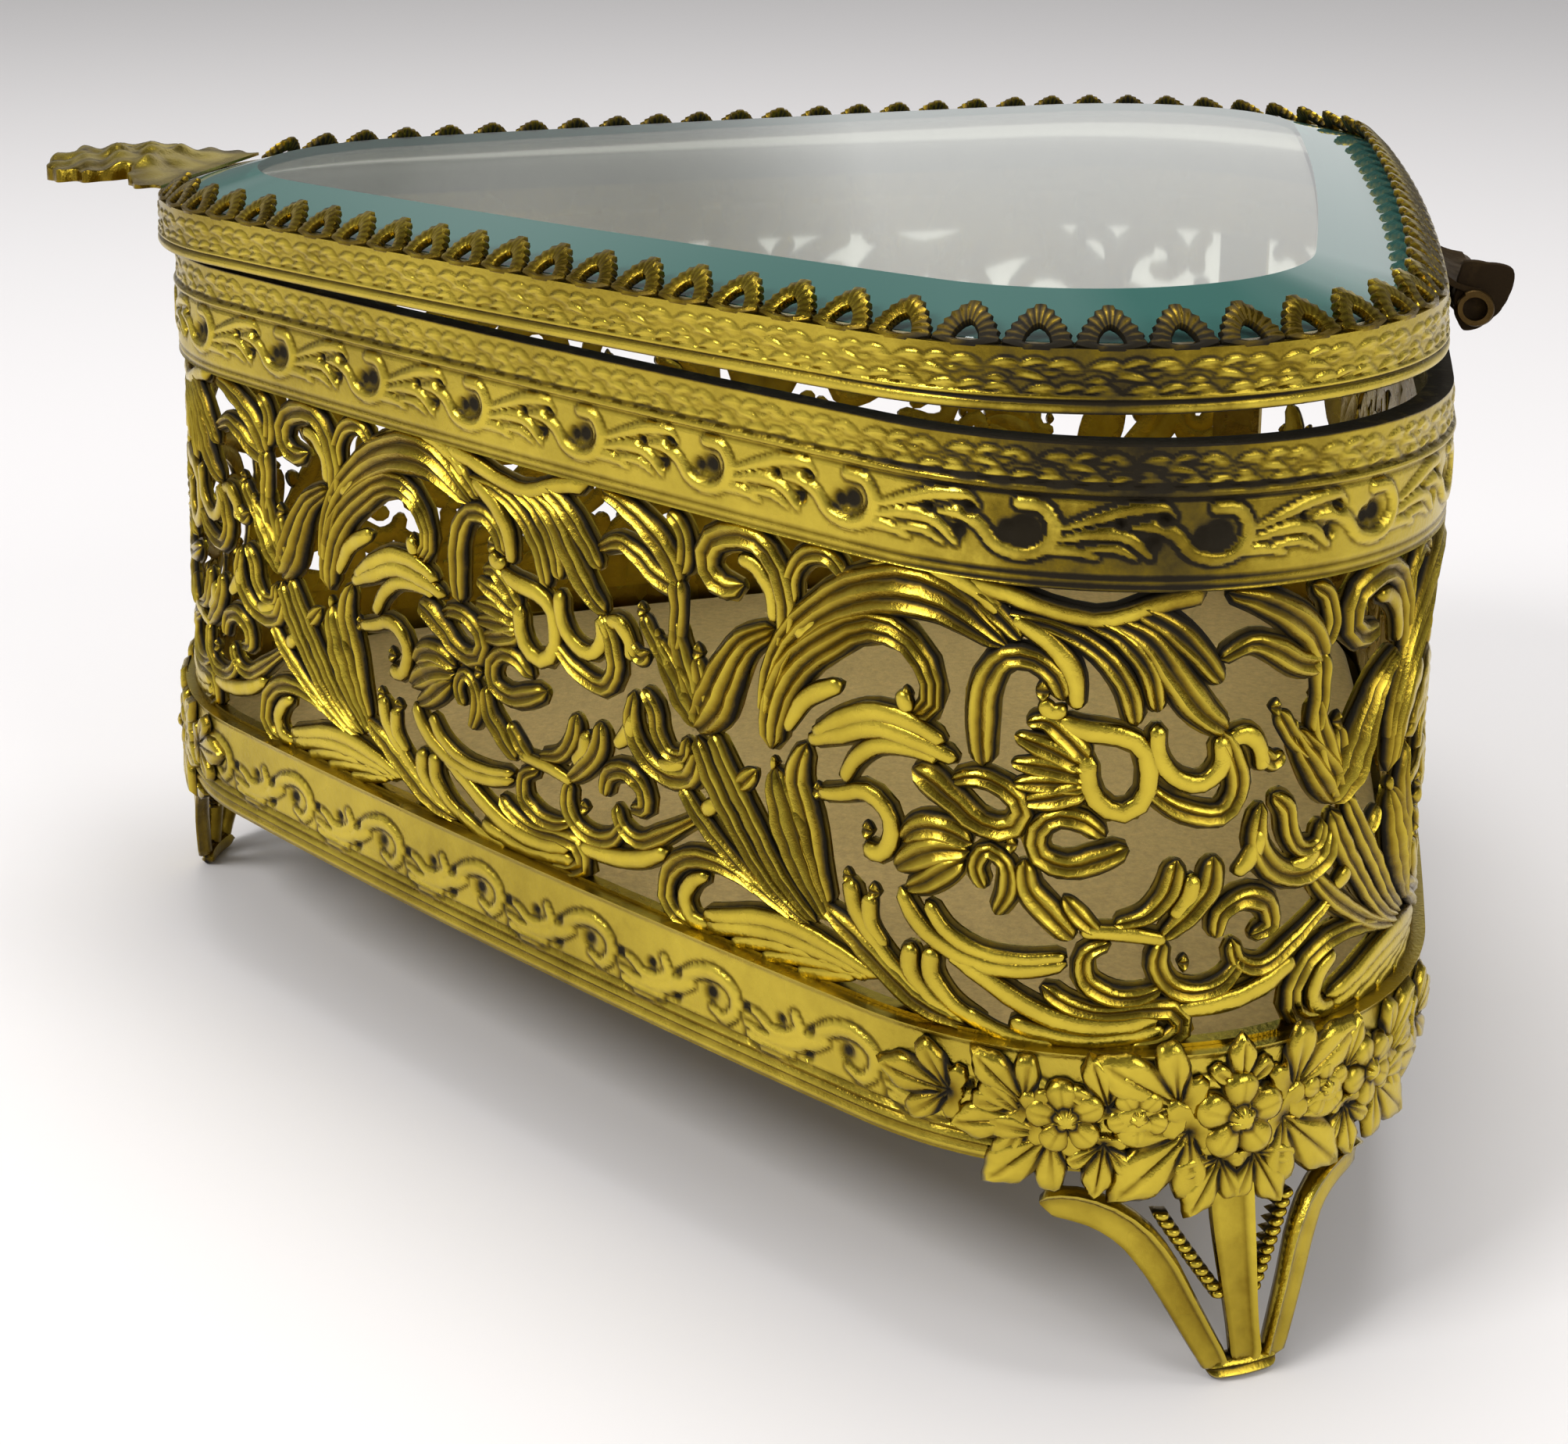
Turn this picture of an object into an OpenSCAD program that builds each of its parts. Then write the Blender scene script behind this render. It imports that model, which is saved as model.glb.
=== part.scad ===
// Footed glass casket box: a three-sided gilt filigree box with rounded corners.
// The lid is a bevelled glass plate held by a toothed crown and hinged at the back.
// Front is -Y, where the pull tab is. The feet stand on Z = 0.
// Distances called "out" are measured square to the body's plan outline, outwards.

/* [Plan outline] */
// Radius of the three rounded corners
corner_r = 27; // [22:0.5:34]
// Length of each gently bowed side between two corners
side_len = 76; // [66:1:100]
// Angle that each bowed side turns through
side_turn = 5.7; // [3:0.1:12]
// Straight facets along each corner
corner_steps = 20; // [12:2:30]
// Straight facets along each side
side_steps = 5; // [4:1:12]

/* [Heights] */
// Height of the base band above the surface that the feet stand on
foot_h = 16; // [12:0.5:24]
// Height of the base band
base_h = 9; // [7:0.5:14]
// Height of the openwork between base band and frieze
filigree_h = 33.5; // [33.5:0.5:50]
// Height of the stamped frieze
frieze_h = 6.5; // [5:0.5:10]
// Height of the engraved rim strip
rim_h = 3.6; // [2.5:0.1:6]
// Height of the lid's band
band_h = 4.4; // [4:0.1:8]

/* [Sheet thicknesses] */
// Thickness of the stamped strips outside the openwork
strip_t = 0.6; // [0.4:0.05:1]
// Thickness of the openwork strip
filigree_t = 1; // [0.7:0.05:1.4]
// Thickness of the inward flanges of the rim, base and lid
flange_t = 0.7; // [0.5:0.05:1]
// Thickness of the floor plate
floor_t = 0.8; // [0.6:0.1:1.5]
// Thickness of the lining pad on the floor
lining_t = 2; // [1:0.5:3]
// How far the selvedge of the openwork reaches behind the base band and the frieze
selvedge = 3.5; // [2:0.25:4]
// Width of the inward flange that carries the floor
floor_ledge = 2.7; // [2:0.1:4]
// Width of the inward flange at the rim
rim_ledge = 1.3; // [1:0.1:2.5]
// Gap between pieces that are soldered or laid against each other
seam_gap = 0.02; // [0.01:0.01:0.05]

/* [Openwork] */
// Length of one repeat of the scroll pattern
repeat = 52; // [44:1:60]
// Where the first repeat starts, measured along the outline from the front
repeat_start = 31; // [0:1:50]
// Width of the upright strip that joins the two ends of the openwork inside
joint_w = 6; // [4:0.5:10]
// Thickness of that strip
joint_t = 0.6; // [0.4:0.1:1]
// Size that the openings are cut to, against their drawn size
opening_size = 1.2; // [0.8:0.05:1.2]

/* [Lid] */
// How far the lid's band stands out past the body
lid_over = 0.7; // [0.4:0.1:2]
// How far the bead at the foot of the lid's band stands out past the band
bead_out = 0.2; // [0.1:0.05:1]
// Height of that bead
bead_h = 1.3; // [0.8:0.1:2]
// How far the lid sits towards the front on its hinge
lid_forward = 1.1; // [0:0.1:1.2]
// Angle that the closed lid stands up at, because its hinge is set high
lid_lift = 1; // [0:0.1:2]
// Gap under the lid's front edge when it is closed
lid_gap = 0.4; // [0.05:0.05:0.6]
// Width of the inward flange at the foot of the lid's band
lid_ledge = 3.1; // [2.5:0.1:5]

/* [Glass] */
// Thickness of the glass at its edge
glass_edge = 1.9; // [1:0.1:3]
// Height of the bevel
bevel_rise = 2.1; // [1:0.1:3]
// Width of the bevel
bevel_w = 8; // [6:0.5:14]
// Gap round the glass
glass_gap = 0.3; // [0.1:0.05:0.6]
// Width of the ledge under the glass
seat_w = 3; // [2:0.25:5]
// Thickness of the ledge under the glass
seat_t = 0.6; // [0.4:0.1:1]
// Height of the ledge's upper face above the lid's lower edge
seat_up = 2.6; // [1.8:0.1:4]

/* [Crown of teeth] */
// Distance from tooth to tooth
tooth_pitch = 4.8; // [4:0.1:7]
// Width of a tooth
tooth_w = 4.2; // [3:0.1:4.6]
// Length of a tooth from the band to its point
tooth_len = 3; // [2.2:0.1:4]
// Thickness of a tooth
tooth_t = 0.5; // [0.3:0.05:0.8]
// Angle that the teeth lean inwards
tooth_lean = 48; // [35:1:55]
// Length left without teeth on each side of the front, under the pull tab
tooth_skip = 12; // [10:0.5:20]

/* [Pull tab] */
// How far the tab stands out past the body's front
tab_reach = 14.5; // [12:0.5:26]
// Width of the tab's root leaf
tab_root_w = 24; // [16:0.5:30]
// Width of the tab's flower end
tab_w = 19; // [12:0.5:24]
// Thickness of the tab
tab_t = 2.4; // [1.5:0.1:3]

/* [Hinge] */
// Width of the hinge
hinge_w = 18; // [14:0.5:30]
// Radius of the hinge pin
pin_r = 1; // [0.7:0.05:1.2]
// Running clearance of the lid's knuckles on the pin
pin_clear = 0.05; // [0.03:0.01:0.1]
// Wall of the knuckles round the pin
knuckle_wall = 0.85; // [0.6:0.05:1]
// Distance of the pin's axis behind the body's back
pin_out = 3.4; // [3.2:0.05:4.5]
// Distance of the pin's axis below the rim's top
pin_down = 0.6; // [0.2:0.1:1]
// Thickness of the hinge leaves
leaf_t = 0.5; // [0.4:0.05:0.8]
// Side play between neighbouring knuckles
knuckle_gap = 0.2; // [0.1:0.05:0.4]
// Thickness of the strap that curls over the pin
strap_t = 0.7; // [0.5:0.05:0.9]
// How far the curled strap stands off the knuckles
hood_gap = 1.1; // [0.8:0.1:1.5]
// Length of the body's leaf below the pin's axis
leaf_drop = 6; // [4:0.5:10]
// Height of the lid's leaf above the strap
leaf_rise = 2.4; // [1.5:0.1:3]

/* [Feet and corner mounts] */
// Half the spread of a foot's two side arms, along the outline
foot_spread = 13; // [10:0.5:18]
// Width of a foot's arms
arm_w = 2.6; // [2:0.1:3.5]
// Radius of the pad that a foot stands on
pad_r = 2.6; // [2:0.1:4]
// How far the pad stands out past the body
pad_out = 1.8; // [0.5:0.1:4]
// Half the length of a corner mount, along the outline
mount_half = 24; // [18:0.5:30]
// Thickness of the leaves and flowers on a corner mount
leaf_relief = 0.8; // [0.6:0.1:2]

/* [Hidden] */
$fn = 32;

gilt = [0.74, 0.62, 0.24];
old_gilt = [0.6, 0.5, 0.18];
velvet = [0.52, 0.45, 0.33];
clear_green = [0.62, 0.72, 0.68, 0.5];

// Plan outline: three corner arcs joined by three bowed sides, tangent to each other.
deg = 180 / PI;
side_r = side_len / side_turn * deg;
corner_turn = 120 - side_turn;
corner_c = (side_r - corner_r) * sin(side_turn / 2) / sin(60);
side_c = (side_r - corner_r) * cos(side_turn / 2) - corner_c / 2;
front_y = corner_c + corner_r;
back_y = side_r - side_c;
function dir(a) = [cos(a), sin(a)];
function corner_point(k, t, out) = corner_c * dir(120 * k - 90) + (corner_r + out) * dir(120 * k - 90 + t);
function side_point(k, t, out) = -side_c * dir(120 * k - 30) + (side_r + out) * dir(120 * k - 30 + t);
function outline(out = 0) = [for (k = [0:2]) each concat(
    [for (i = [0:corner_steps]) corner_point(k, corner_turn * (i / corner_steps - 0.5), out)],
    [for (i = [1:side_steps - 1]) side_point(k, side_turn * (i / side_steps - 0.5), out)])];

// A place on the outline at arc length s from the front, as [x, y, direction it faces].
third = (corner_r * corner_turn + side_r * side_turn) / deg;
half_corner = corner_r * corner_turn / deg / 2;
function wrap(s) = s - floor(s / third) * third;
function place_angle(k, t) =
    t < half_corner ? 120 * k - 90 + t / corner_r * deg :
    t < third - half_corner ? 120 * k - 30 - side_turn / 2 + (t - half_corner) / side_r * deg :
    120 * k + 30 - (third - t) / corner_r * deg;
function place_point(k, t) =
    t < half_corner ? corner_point(k, t / corner_r * deg, 0) :
    t < third - half_corner ? side_point(k, (t - half_corner) / side_r * deg - side_turn / 2, 0) :
    corner_point(k + 1, -(third - t) / corner_r * deg, 0);

// Heights of the joints between the bands, and the lid's own levels.
z_base = foot_h;
z_filigree = z_base + base_h;
z_frieze = z_filigree + filigree_h;
z_rim = z_frieze + frieze_h;
z_top = z_rim + rim_h;
z_floor = z_base + flange_t;
lid_z = z_top + lid_gap;
pin_y = back_y + pin_out;
pin_z = z_top - pin_down;

// Faces of the strips, out from the outline. The openwork lies behind the base band and the frieze.
strip_in = -strip_t / 2;
wall_out = strip_in - seam_gap;
wall_in = wall_out - filigree_t;
proud = 0.4;
// The outline's straight facets lie up to this far inside its true curve.
facet_gap = 0.05;

// Levels on the lid, up from its lower edge.
crown_up = 0.5;
crown_top = band_h + crown_up;
tab_z = crown_top + seam_gap;

// The whole part is centred over the origin, from the tab's tip to the back of the hinge.
knuckle_r = pin_r + knuckle_wall;
hood_r = knuckle_r + hood_gap;
tip_y = front_y + lid_forward + tab_reach * cos(lid_lift) + (tab_z + tab_t) * sin(lid_lift);
centre_y = (pin_y + hood_r - tip_y) / 2;

module place(s, out = 0) {
    k = floor(s / third);
    t = wrap(s);
    p = place_point(k, t);
    a = place_angle(k, t);
    translate([p.x, p.y, 0]) rotate([0, 0, a + 90]) translate([0, -out, 0]) children();
}

module slab(out, z0, z1) {
    translate([0, 0, z0]) linear_extrude(z1 - z0) polygon(outline(out));
}

module ring(outer, inner, z0, z1) {
    translate([0, 0, z0]) linear_extrude(z1 - z0) difference() {
        polygon(outline(outer));
        polygon(outline(inner));
    }
}

// A moulding carried round the outline. Its profile is a list of [out, up], anticlockwise.
module moulding(profile, z0) {
    m = len(profile);
    loops = [for (p = profile) outline(p[0])];
    n = len(loops[0]);
    points = [for (j = [0:n - 1]) for (i = [0:m - 1]) [loops[i][j].x, loops[i][j].y, z0 + profile[i][1]]];
    function at(j, i) = (j % n) * m + (i % m);
    faces = [for (j = [0:n - 1]) for (i = [0:m - 1]) each [
        [at(j, i), at(j, i + 1), at(j + 1, i + 1)],
        [at(j, i), at(j + 1, i + 1), at(j + 1, i)]]];
    polyhedron(points, faces);
}

// A bar with a tapered oval section carried through points [x, y, z, width, depth].
// Its sections lie square to the X-Z direction of travel, and its depth is along Y.
module bar(path, sides = 8) {
    n = len(path);
    function heading(i) = let (a = path[max(i - 1, 0)], b = path[min(i + 1, n - 1)])
        atan2(b[2] - a[2], b[0] - a[0]);
    points = [for (i = [0:n - 1]) for (j = [0:sides - 1])
        let (h = heading(i), a = 360 * (j + 0.5) / sides)
        let (w = path[i][3] / 2 * cos(a), d = path[i][4] / 2 * sin(a))
        [path[i][0] - w * sin(h), path[i][1] + d, path[i][2] + w * cos(h)]];
    skin = [for (i = [0:n - 2]) for (j = [0:sides - 1]) let (k = (j + 1) % sides) each [
        [i * sides + j, i * sides + k, (i + 1) * sides + k],
        [i * sides + j, (i + 1) * sides + k, (i + 1) * sides + j]]];
    first = [for (j = [sides - 1:-1:0]) j];
    last = [for (j = [0:sides - 1]) (n - 1) * sides + j];
    polyhedron(points, concat(skin, [first], [last]));
}

// The lid's pieces are drawn level on the lid's own height, and this sets them in place.
module on_lid() {
    translate([0, -lid_forward - front_y, lid_z])
        rotate([lid_lift, 0, 0]) translate([0, front_y, 0]) children();
}

// Openings of one repeat of the scrollwork, as [along, up] from the repeat's start and the base band.
openings = [
    [[4, 2], [5.5, 4.5], [9.5, 4.8], [10, 3.6], [6.5, 2.6], [6, 1.6]],
    [[13.5, 1.2], [19.5, 2.2], [22.5, 1.3], [18, 0.6]],
    [[5.8, 16.8], [7.2, 23.8], [9.8, 24.6], [9.8, 17.2], [8.2, 13.6]],
    [[6.8, 12.8], [9, 12.2], [12.5, 8], [14, 6], [11, 6.8], [8, 10.6]],
    [[3, 27.5], [5, 25.4], [9.6, 26], [11, 28.4], [10.4, 30.2], [7.6, 29]],
    [[17.2, 22.8], [18.8, 26.2], [21, 27.6], [23.4, 26.8], [23.4, 24.2], [21, 22.6]],
    [[23, 29.8], [26.6, 29], [27.8, 27], [26, 26.4], [25.6, 23.4], [26.8, 20.6], [24.8, 22.6], [24.4, 27]],
    [[31.8, 30.2], [36, 29.6], [38, 27.2], [38, 24.4], [35.8, 24.2], [35, 27]],
    [[38.8, 32], [43, 33], [46.4, 32], [48, 30.4], [45, 28], [42.2, 30]],
    [[45, 25], [46, 27.6], [49, 28.2], [51.4, 27], [51.2, 25.4], [49, 24.2], [46.4, 24]],
    [[16.6, 16.4], [17.8, 19.6], [20.4, 19.2], [23.6, 19.4], [24, 18.4], [21.6, 17.4], [19.4, 15.8]],
    [[16.8, 10.6], [17.2, 13.6], [19.4, 11.4], [22.2, 10.2], [22.4, 8.4], [19.6, 8.2]],
    [[26, 9.6], [28.4, 10.6], [31, 11.4], [32.6, 8.6], [33.6, 7], [31, 6], [27.4, 6.8]],
    [[35.4, 12.8], [38, 14.4], [41, 14], [41, 11.2], [39, 9.8], [36.4, 10]],
    [[39.4, 18.6], [42, 18], [44.4, 16.4], [43.6, 15.4], [40.6, 15.4]],
    [[43, 2.2], [47, 3.2], [50.4, 3.6], [51, 2], [50, 0.7], [44, 0.6]],
    [[25.4, 2.6], [27, 5], [29.6, 3.4], [28, 2.4]],
    [[47.2, 19], [50, 19.8], [51.8, 17.6], [50.8, 15.6], [48.6, 17]],
    [[46.5, 20.8], [48.2, 22.8], [50.4, 22], [49, 20.6]],
    [[48.4, 10.6], [50.6, 11.2], [52.6, 9.4], [51.4, 7.8], [49.4, 8.6]],
    [[30, 25.2], [31, 27.4], [32.8, 27], [33, 25], [31.6, 24]],
    [[36.2, 20.2], [37, 21.8], [38.6, 21.6], [38.8, 19.6], [37.6, 18.4]],
    [[41, 21.4], [42.4, 22.4], [44, 21.6], [43.6, 20.4], [42, 20.2]],
    [[42.4, 6.4], [43.6, 7.8], [44.8, 6.8], [43.8, 5.4]],
    [[13.4, 30.2], [14.4, 31.8], [16.2, 31.6], [16.2, 30], [14.8, 29.2]]];

// Plan and height of a leaf and of a five-petalled flower, seen from outside, about their middles.
function leaf_shape(length, width) = [for (i = [0:11]) let (a = 30 * i)
    [length / 2 * cos(a), width / 2 * sin(a) * (1 + 0.25 * cos(3 * a))]];
function flower_shape(r) = [for (i = [0:19])
    let (grow = i % 4 == 0 ? 0.62 : (i % 4 == 2 ? 1 : 0.92)) r * grow * dir(18 * i + 54)];

module floor_plate() {
    color(old_gilt) slab(strip_in - 0.2, z_floor, z_floor + floor_t);
}

module lining_pad() {
    color(velvet) slab(wall_in - 0.3, z_floor + floor_t, z_floor + floor_t + lining_t);
}

// Bent lugs, soldered to the inside of the base band, that hold the floor plate down.
lug = [5, 0.5, 1.6];
module floor_lugs() {
    z = z_floor + floor_t;
    color(old_gilt) for (k = [0:2]) for (side = [-1, 1]) place(third * (k + 0.5) + side * 22) {
        translate([-lug.x / 2, facet_gap - strip_in, z]) cube(lug);
    }
}

module base_band() {
    t = strip_t / 2;
    color(gilt) moulding([
        [strip_in - floor_ledge, 0], [t, 0], [proud + t, 0.3], [proud + t, 0.9], [t, 1.15],
        [proud + t, 1.4], [proud + t, 1.9], [t, 2.15], [proud + t - 0.1, 2.4], [t, 2.7],
        [t, base_h - 0.5], [proud + t - 0.1, base_h - 0.3], [proud + t - 0.1, base_h],
        [strip_in, base_h], [strip_in, flange_t], [strip_in - floor_ledge, flange_t]], z_base);
}

// The openwork strip goes once round, and its two ends meet at the back left corner.
joint_s = 2 * third;
module filigree_wall() {
    first = joint_s - 3 * third + joint_w;
    last = joint_s - joint_w;
    color(gilt) difference() {
        ring(wall_out, wall_in, z_filigree - selvedge, z_frieze + selvedge);
        for (i = [floor((first - repeat_start) / repeat):floor((last - repeat_start) / repeat)])
        for (hole = openings) {
            mid = [for (p = hole) 1] * hole / len(hole);
            s = repeat_start + repeat * i + mid.x;
            if (s > first && s < last)
                place(s) translate([0, 3 * filigree_t, z_filigree]) rotate([90, 0, 0])
                    linear_extrude(6 * filigree_t)
                        polygon([for (p = hole) [0, mid.y] + opening_size * (p - mid)]);
        }
    }
}

// Upright strip inside the corner, soldered over the two ends of the openwork.
module filigree_joint() {
    color(old_gilt) place(joint_s)
        translate([-joint_w / 2, facet_gap - wall_in + joint_w * joint_w / 8 / corner_r, z_filigree])
            cube([joint_w, joint_t, filigree_h]);
}

module frieze_band() {
    t = strip_t / 2;
    color(gilt) moulding([
        [strip_in, 0], [t, 0], [t, 0.3], [t - 0.25, 0.45], [t, 0.6], [t, 0.9], [t - 0.2, 1.1],
        [t - 0.2, frieze_h - 0.3], [t, frieze_h], [strip_in, frieze_h]], z_frieze);
}

rim_bead = strip_t / 2 + 0.35;
module rim_band() {
    t = strip_t / 2;
    color(gilt) moulding([
        [strip_in, 0], [rim_bead - 0.2, 0], [rim_bead, 0.3], [rim_bead - 0.2, 0.6], [t - 0.05, 0.75],
        [t - 0.05, rim_h - 0.3], [t - 0.3, rim_h], [strip_in - rim_ledge, rim_h],
        [strip_in - rim_ledge, rim_h - flange_t], [strip_in, rim_h - flange_t]], z_rim);
}

// Leaves and flowers of a corner mount: [along, height share, length, width, turn], mirrored in pairs.
mount_leaves = [[21, 0.6, 8, 5.5, 10], [16, 0.25, 8, 5, 35], [14.5, 0.8, 7, 4.4, -30], [9, 0.1, 8, 4.6, 50],
    [5.5, 0.85, 7, 4.6, -55], [3.5, 0.05, 6, 3.8, 70]];
mount_flowers = [[11, 0.5, 3.2], [3, 0.42, 2.8]];
mount_h = base_h + 3;
module corner_mount(k) {
    z0 = z_base - 2;
    back = proud + strip_t / 2 + seam_gap;
    color(gilt) union() {
        for (i = [-3:3]) place(third * k + i * (mount_half - 4) / 3.5, back)
            translate([0, 0, z_base + 1.5]) rotate([90, 0, 0]) linear_extrude(0.7)
                translate([-(mount_half - 4) / 6.6, 0]) square([(mount_half - 4) / 3.3, base_h - 3]);
        for (side = [-1, 1]) for (leaf = mount_leaves) {
            s = third * k + side * leaf[0] * mount_half / 24;
            place(s, back + 0.25) translate([0, 0, z0 + mount_h * leaf[1]]) rotate([90, 0, 0])
                linear_extrude(leaf_relief) mirror([side < 0 ? 1 : 0, 0]) rotate(leaf[4])
                    polygon(leaf_shape(leaf[2], leaf[3]));
        }
        for (side = [-1, 1]) for (flower = mount_flowers) {
            s = third * k + side * flower[0] * mount_half / 24;
            place(s, back + 0.45) translate([0, 0, z0 + mount_h * flower[1]]) rotate([90, 0, 0])
                linear_extrude(leaf_relief + 0.3) polygon(flower_shape(flower[2]));
        }
    }
}
module corner_mount_front() { corner_mount(0); }
module corner_mount_right() { corner_mount(1); }
module corner_mount_left() { corner_mount(2); }

// A foot: two side arms and a middle rib that spring from a plate under the base band
// and come together on a small pad.
module foot(k) {
    bend = corner_r;
    function arc(s, out) = [(bend + out) * sin(s / bend * deg), bend - (bend + out) * cos(s / bend * deg)];
    function step(s, z, out, w, d) =
        let (p = arc(s * foot_spread / 13, out)) [p.x, p.y, z * foot_h / 16, w, d];
    color(gilt) place(third * k) union() {
        for (side = [-1, 1]) bar([for (p = [
            step(13, 13.4, -0.8, arm_w, 2.2), step(10.6, 14, -0.7, arm_w, 2.2),
            step(8.2, 12.8, -0.6, arm_w, 2.2), step(6.3, 10.2, 0, arm_w, 2.2),
            step(4.8, 7.2, 0.8, arm_w * 0.9, 2), step(3.3, 4, 1.4, arm_w * 0.8, 2),
            step(1.7, 1, pad_out, arm_w * 0.7, 2)]) [side * p[0], p[1], p[2], p[3], p[4]]]);
        bar([step(0, 15.6, -1, 4.6, 1.8), step(0, 11, -0.3, 4.2, 1.8), step(0, 6, 1, 2.6, 1.8),
            step(0, 1, pad_out, 1.8, 2)]);
        translate([0, -pad_out, 0]) cylinder(h = 1.4, r1 = pad_r * 0.8, r2 = pad_r * 0.6);
        intersection() {
            translate([0, front_y, z_base - flange_t]) linear_extrude(flange_t) polygon(outline(-0.1));
            translate([-foot_spread, -1, 0]) cube([2 * foot_spread, 9, z_base + 1]);
        }
        for (side = [-1, 1]) {
            p = arc(11 * foot_spread / 13, 0);
            post_z = 13.6 * foot_h / 16;
            translate([side * p.x - 1, p.y + 0.3, post_z]) cube([2, 1.6, z_base - post_z - 0.1]);
        }
    }
}
module foot_front() { foot(0); }
module foot_right() { foot(1); }
module foot_left() { foot(2); }

// Width of one lid knuckle; the body's knuckle fills the middle.
lid_knuckle_w = hinge_w / 3;
module along_x(x0, x1) {
    translate([x0, pin_y, pin_z]) rotate([90, 0, 90]) linear_extrude(x1 - x0) children();
}

module hinge_leaf_body() {
    inner = hinge_w / 2 - lid_knuckle_w - knuckle_gap;
    face = rim_bead + seam_gap - pin_out;
    leaf_top = pin_down - 0.1;
    color(old_gilt) difference() {
        union() {
            along_x(-hinge_w / 2, hinge_w / 2)
                translate([face, -leaf_drop]) square([leaf_t, leaf_drop + leaf_top]);
            along_x(-inner, inner) {
                circle(knuckle_r);
                translate([face, -pin_r]) square([-face, pin_r + leaf_top]);
            }
        }
        along_x(-hinge_w, hinge_w) circle(pin_r);
    }
}

module hinge_pin() {
    color(old_gilt) along_x(-hinge_w / 2 - 0.3, hinge_w / 2 + 0.3) circle(pin_r);
}

// The lid's leaf: a plate behind the lid's band, a strap over the pin, and two curled knuckles.
module hinge_leaf_lid() {
    top = lid_z + (back_y + front_y) * sin(lid_lift) + bead_h - pin_z + strap_t;
    low_r = knuckle_r + 0.25;
    plate_y = lid_over - lid_forward - pin_out + seam_gap;
    outer = [for (a = [90:-15:0]) [hood_r * cos(a), top * pow(sin(a), 0.6)]];
    under = [for (a = [-15:-15:-105]) (low_r + (hood_r - low_r) * max(0, 1 + a / 75)) * dir(a)];
    hood = concat(outer, under);
    lining = [for (i = [len(hood) - 1:-1:0]) let (p = hood[i]) p * (norm(p) - strap_t) / norm(p)];
    color(old_gilt) difference() {
        union() {
            for (x = [-hinge_w / 2, hinge_w / 2 - lid_knuckle_w]) along_x(x, x + lid_knuckle_w) {
                circle(knuckle_r);
                polygon(concat(hood, lining));
                translate([-low_r / 4, 0.1 - low_r]) square([low_r / 2, low_r - knuckle_r + 0.3]);
            }
            along_x(-hinge_w / 2, hinge_w / 2)
                polygon([[plate_y, top - strap_t], [0.05, top - strap_t], [0.05, top],
                    [plate_y + leaf_t, top + 0.1], [plate_y + leaf_t, top + leaf_rise],
                    [plate_y, top + leaf_rise]]);
        }
        along_x(-hinge_w, hinge_w) circle(pin_r + pin_clear);
    }
}

module lid_band() {
    inner = lid_over - strip_t;
    color(gilt) on_lid() moulding([
        [lid_over - lid_ledge, 0], [lid_over, 0], [lid_over + bead_out * 0.75, bead_h * 0.15],
        [lid_over + bead_out, bead_h * 0.5], [lid_over + bead_out * 0.75, bead_h * 0.85], [lid_over, bead_h],
        [lid_over, band_h - 0.3], [lid_over - 0.2, band_h], [inner, band_h], [inner, flange_t],
        [lid_over - lid_ledge, flange_t]], 0);
}

// Ledge ring inside the lid's band that the glass lies on.
module glass_seat() {
    inner = lid_over - strip_t - seam_gap;
    color(old_gilt) on_lid() union() {
        ring(inner, inner - seat_w, seat_up - seat_t, seat_up);
        ring(inner, inner - strip_t, flange_t, seat_up);
    }
}

crown_out = lid_over - strip_t - seam_gap;
glass_out = crown_out - strip_t - glass_gap;
module lid_glass() {
    levels = [[glass_out, seat_up], [glass_out, seat_up + glass_edge],
        [glass_out - bevel_w, seat_up + glass_edge + bevel_rise]];
    loops = [for (l = levels) outline(l[0])];
    n = len(loops[0]);
    points = [for (i = [0:2]) for (p = loops[i]) [p.x, p.y, levels[i][1]]];
    skin = [for (i = [0:1]) for (j = [0:n - 1]) let (k = (j + 1) % n) each [
        [i * n + j, (i + 1) * n + k, i * n + k], [i * n + j, (i + 1) * n + j, (i + 1) * n + k]]];
    lower = [for (j = [0:n - 1]) j];
    upper = [for (j = [n - 1:-1:0]) 2 * n + j];
    color(clear_green) on_lid() polyhedron(points, concat(skin, [lower, upper]));
}

// The crown: a strip inside the band with a row of pierced, pointed teeth folded over the glass.
module gallery_crown() {
    count = round(3 * third / tooth_pitch);
    w = tooth_w / 2;
    l = tooth_len;
    color(gilt) on_lid() union() {
        ring(crown_out, crown_out - strip_t, seat_up, crown_top);
        for (i = [0:count - 1]) {
            s = 3 * third * i / count;
            if (min(s, 3 * third - s) > tooth_skip)
                place(s, crown_out) translate([0, 0, crown_top - 0.2]) rotate([90 - tooth_lean, 0, 0])
                    translate([0, 0, -tooth_t]) linear_extrude(tooth_t) difference() {
                        polygon([[-w, 0], [w, 0], [w, 0.2 * l], [0.62 * w, 0.55 * l], [0.3 * w, 0.8 * l],
                            [0, l], [-0.3 * w, 0.8 * l], [-0.62 * w, 0.55 * l], [-w, 0.2 * l]]);
                        polygon([[-0.42 * w, 0.16 * l], [0.42 * w, 0.16 * l], [0, 0.52 * l]]);
                    }
        }
    }
}

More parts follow.
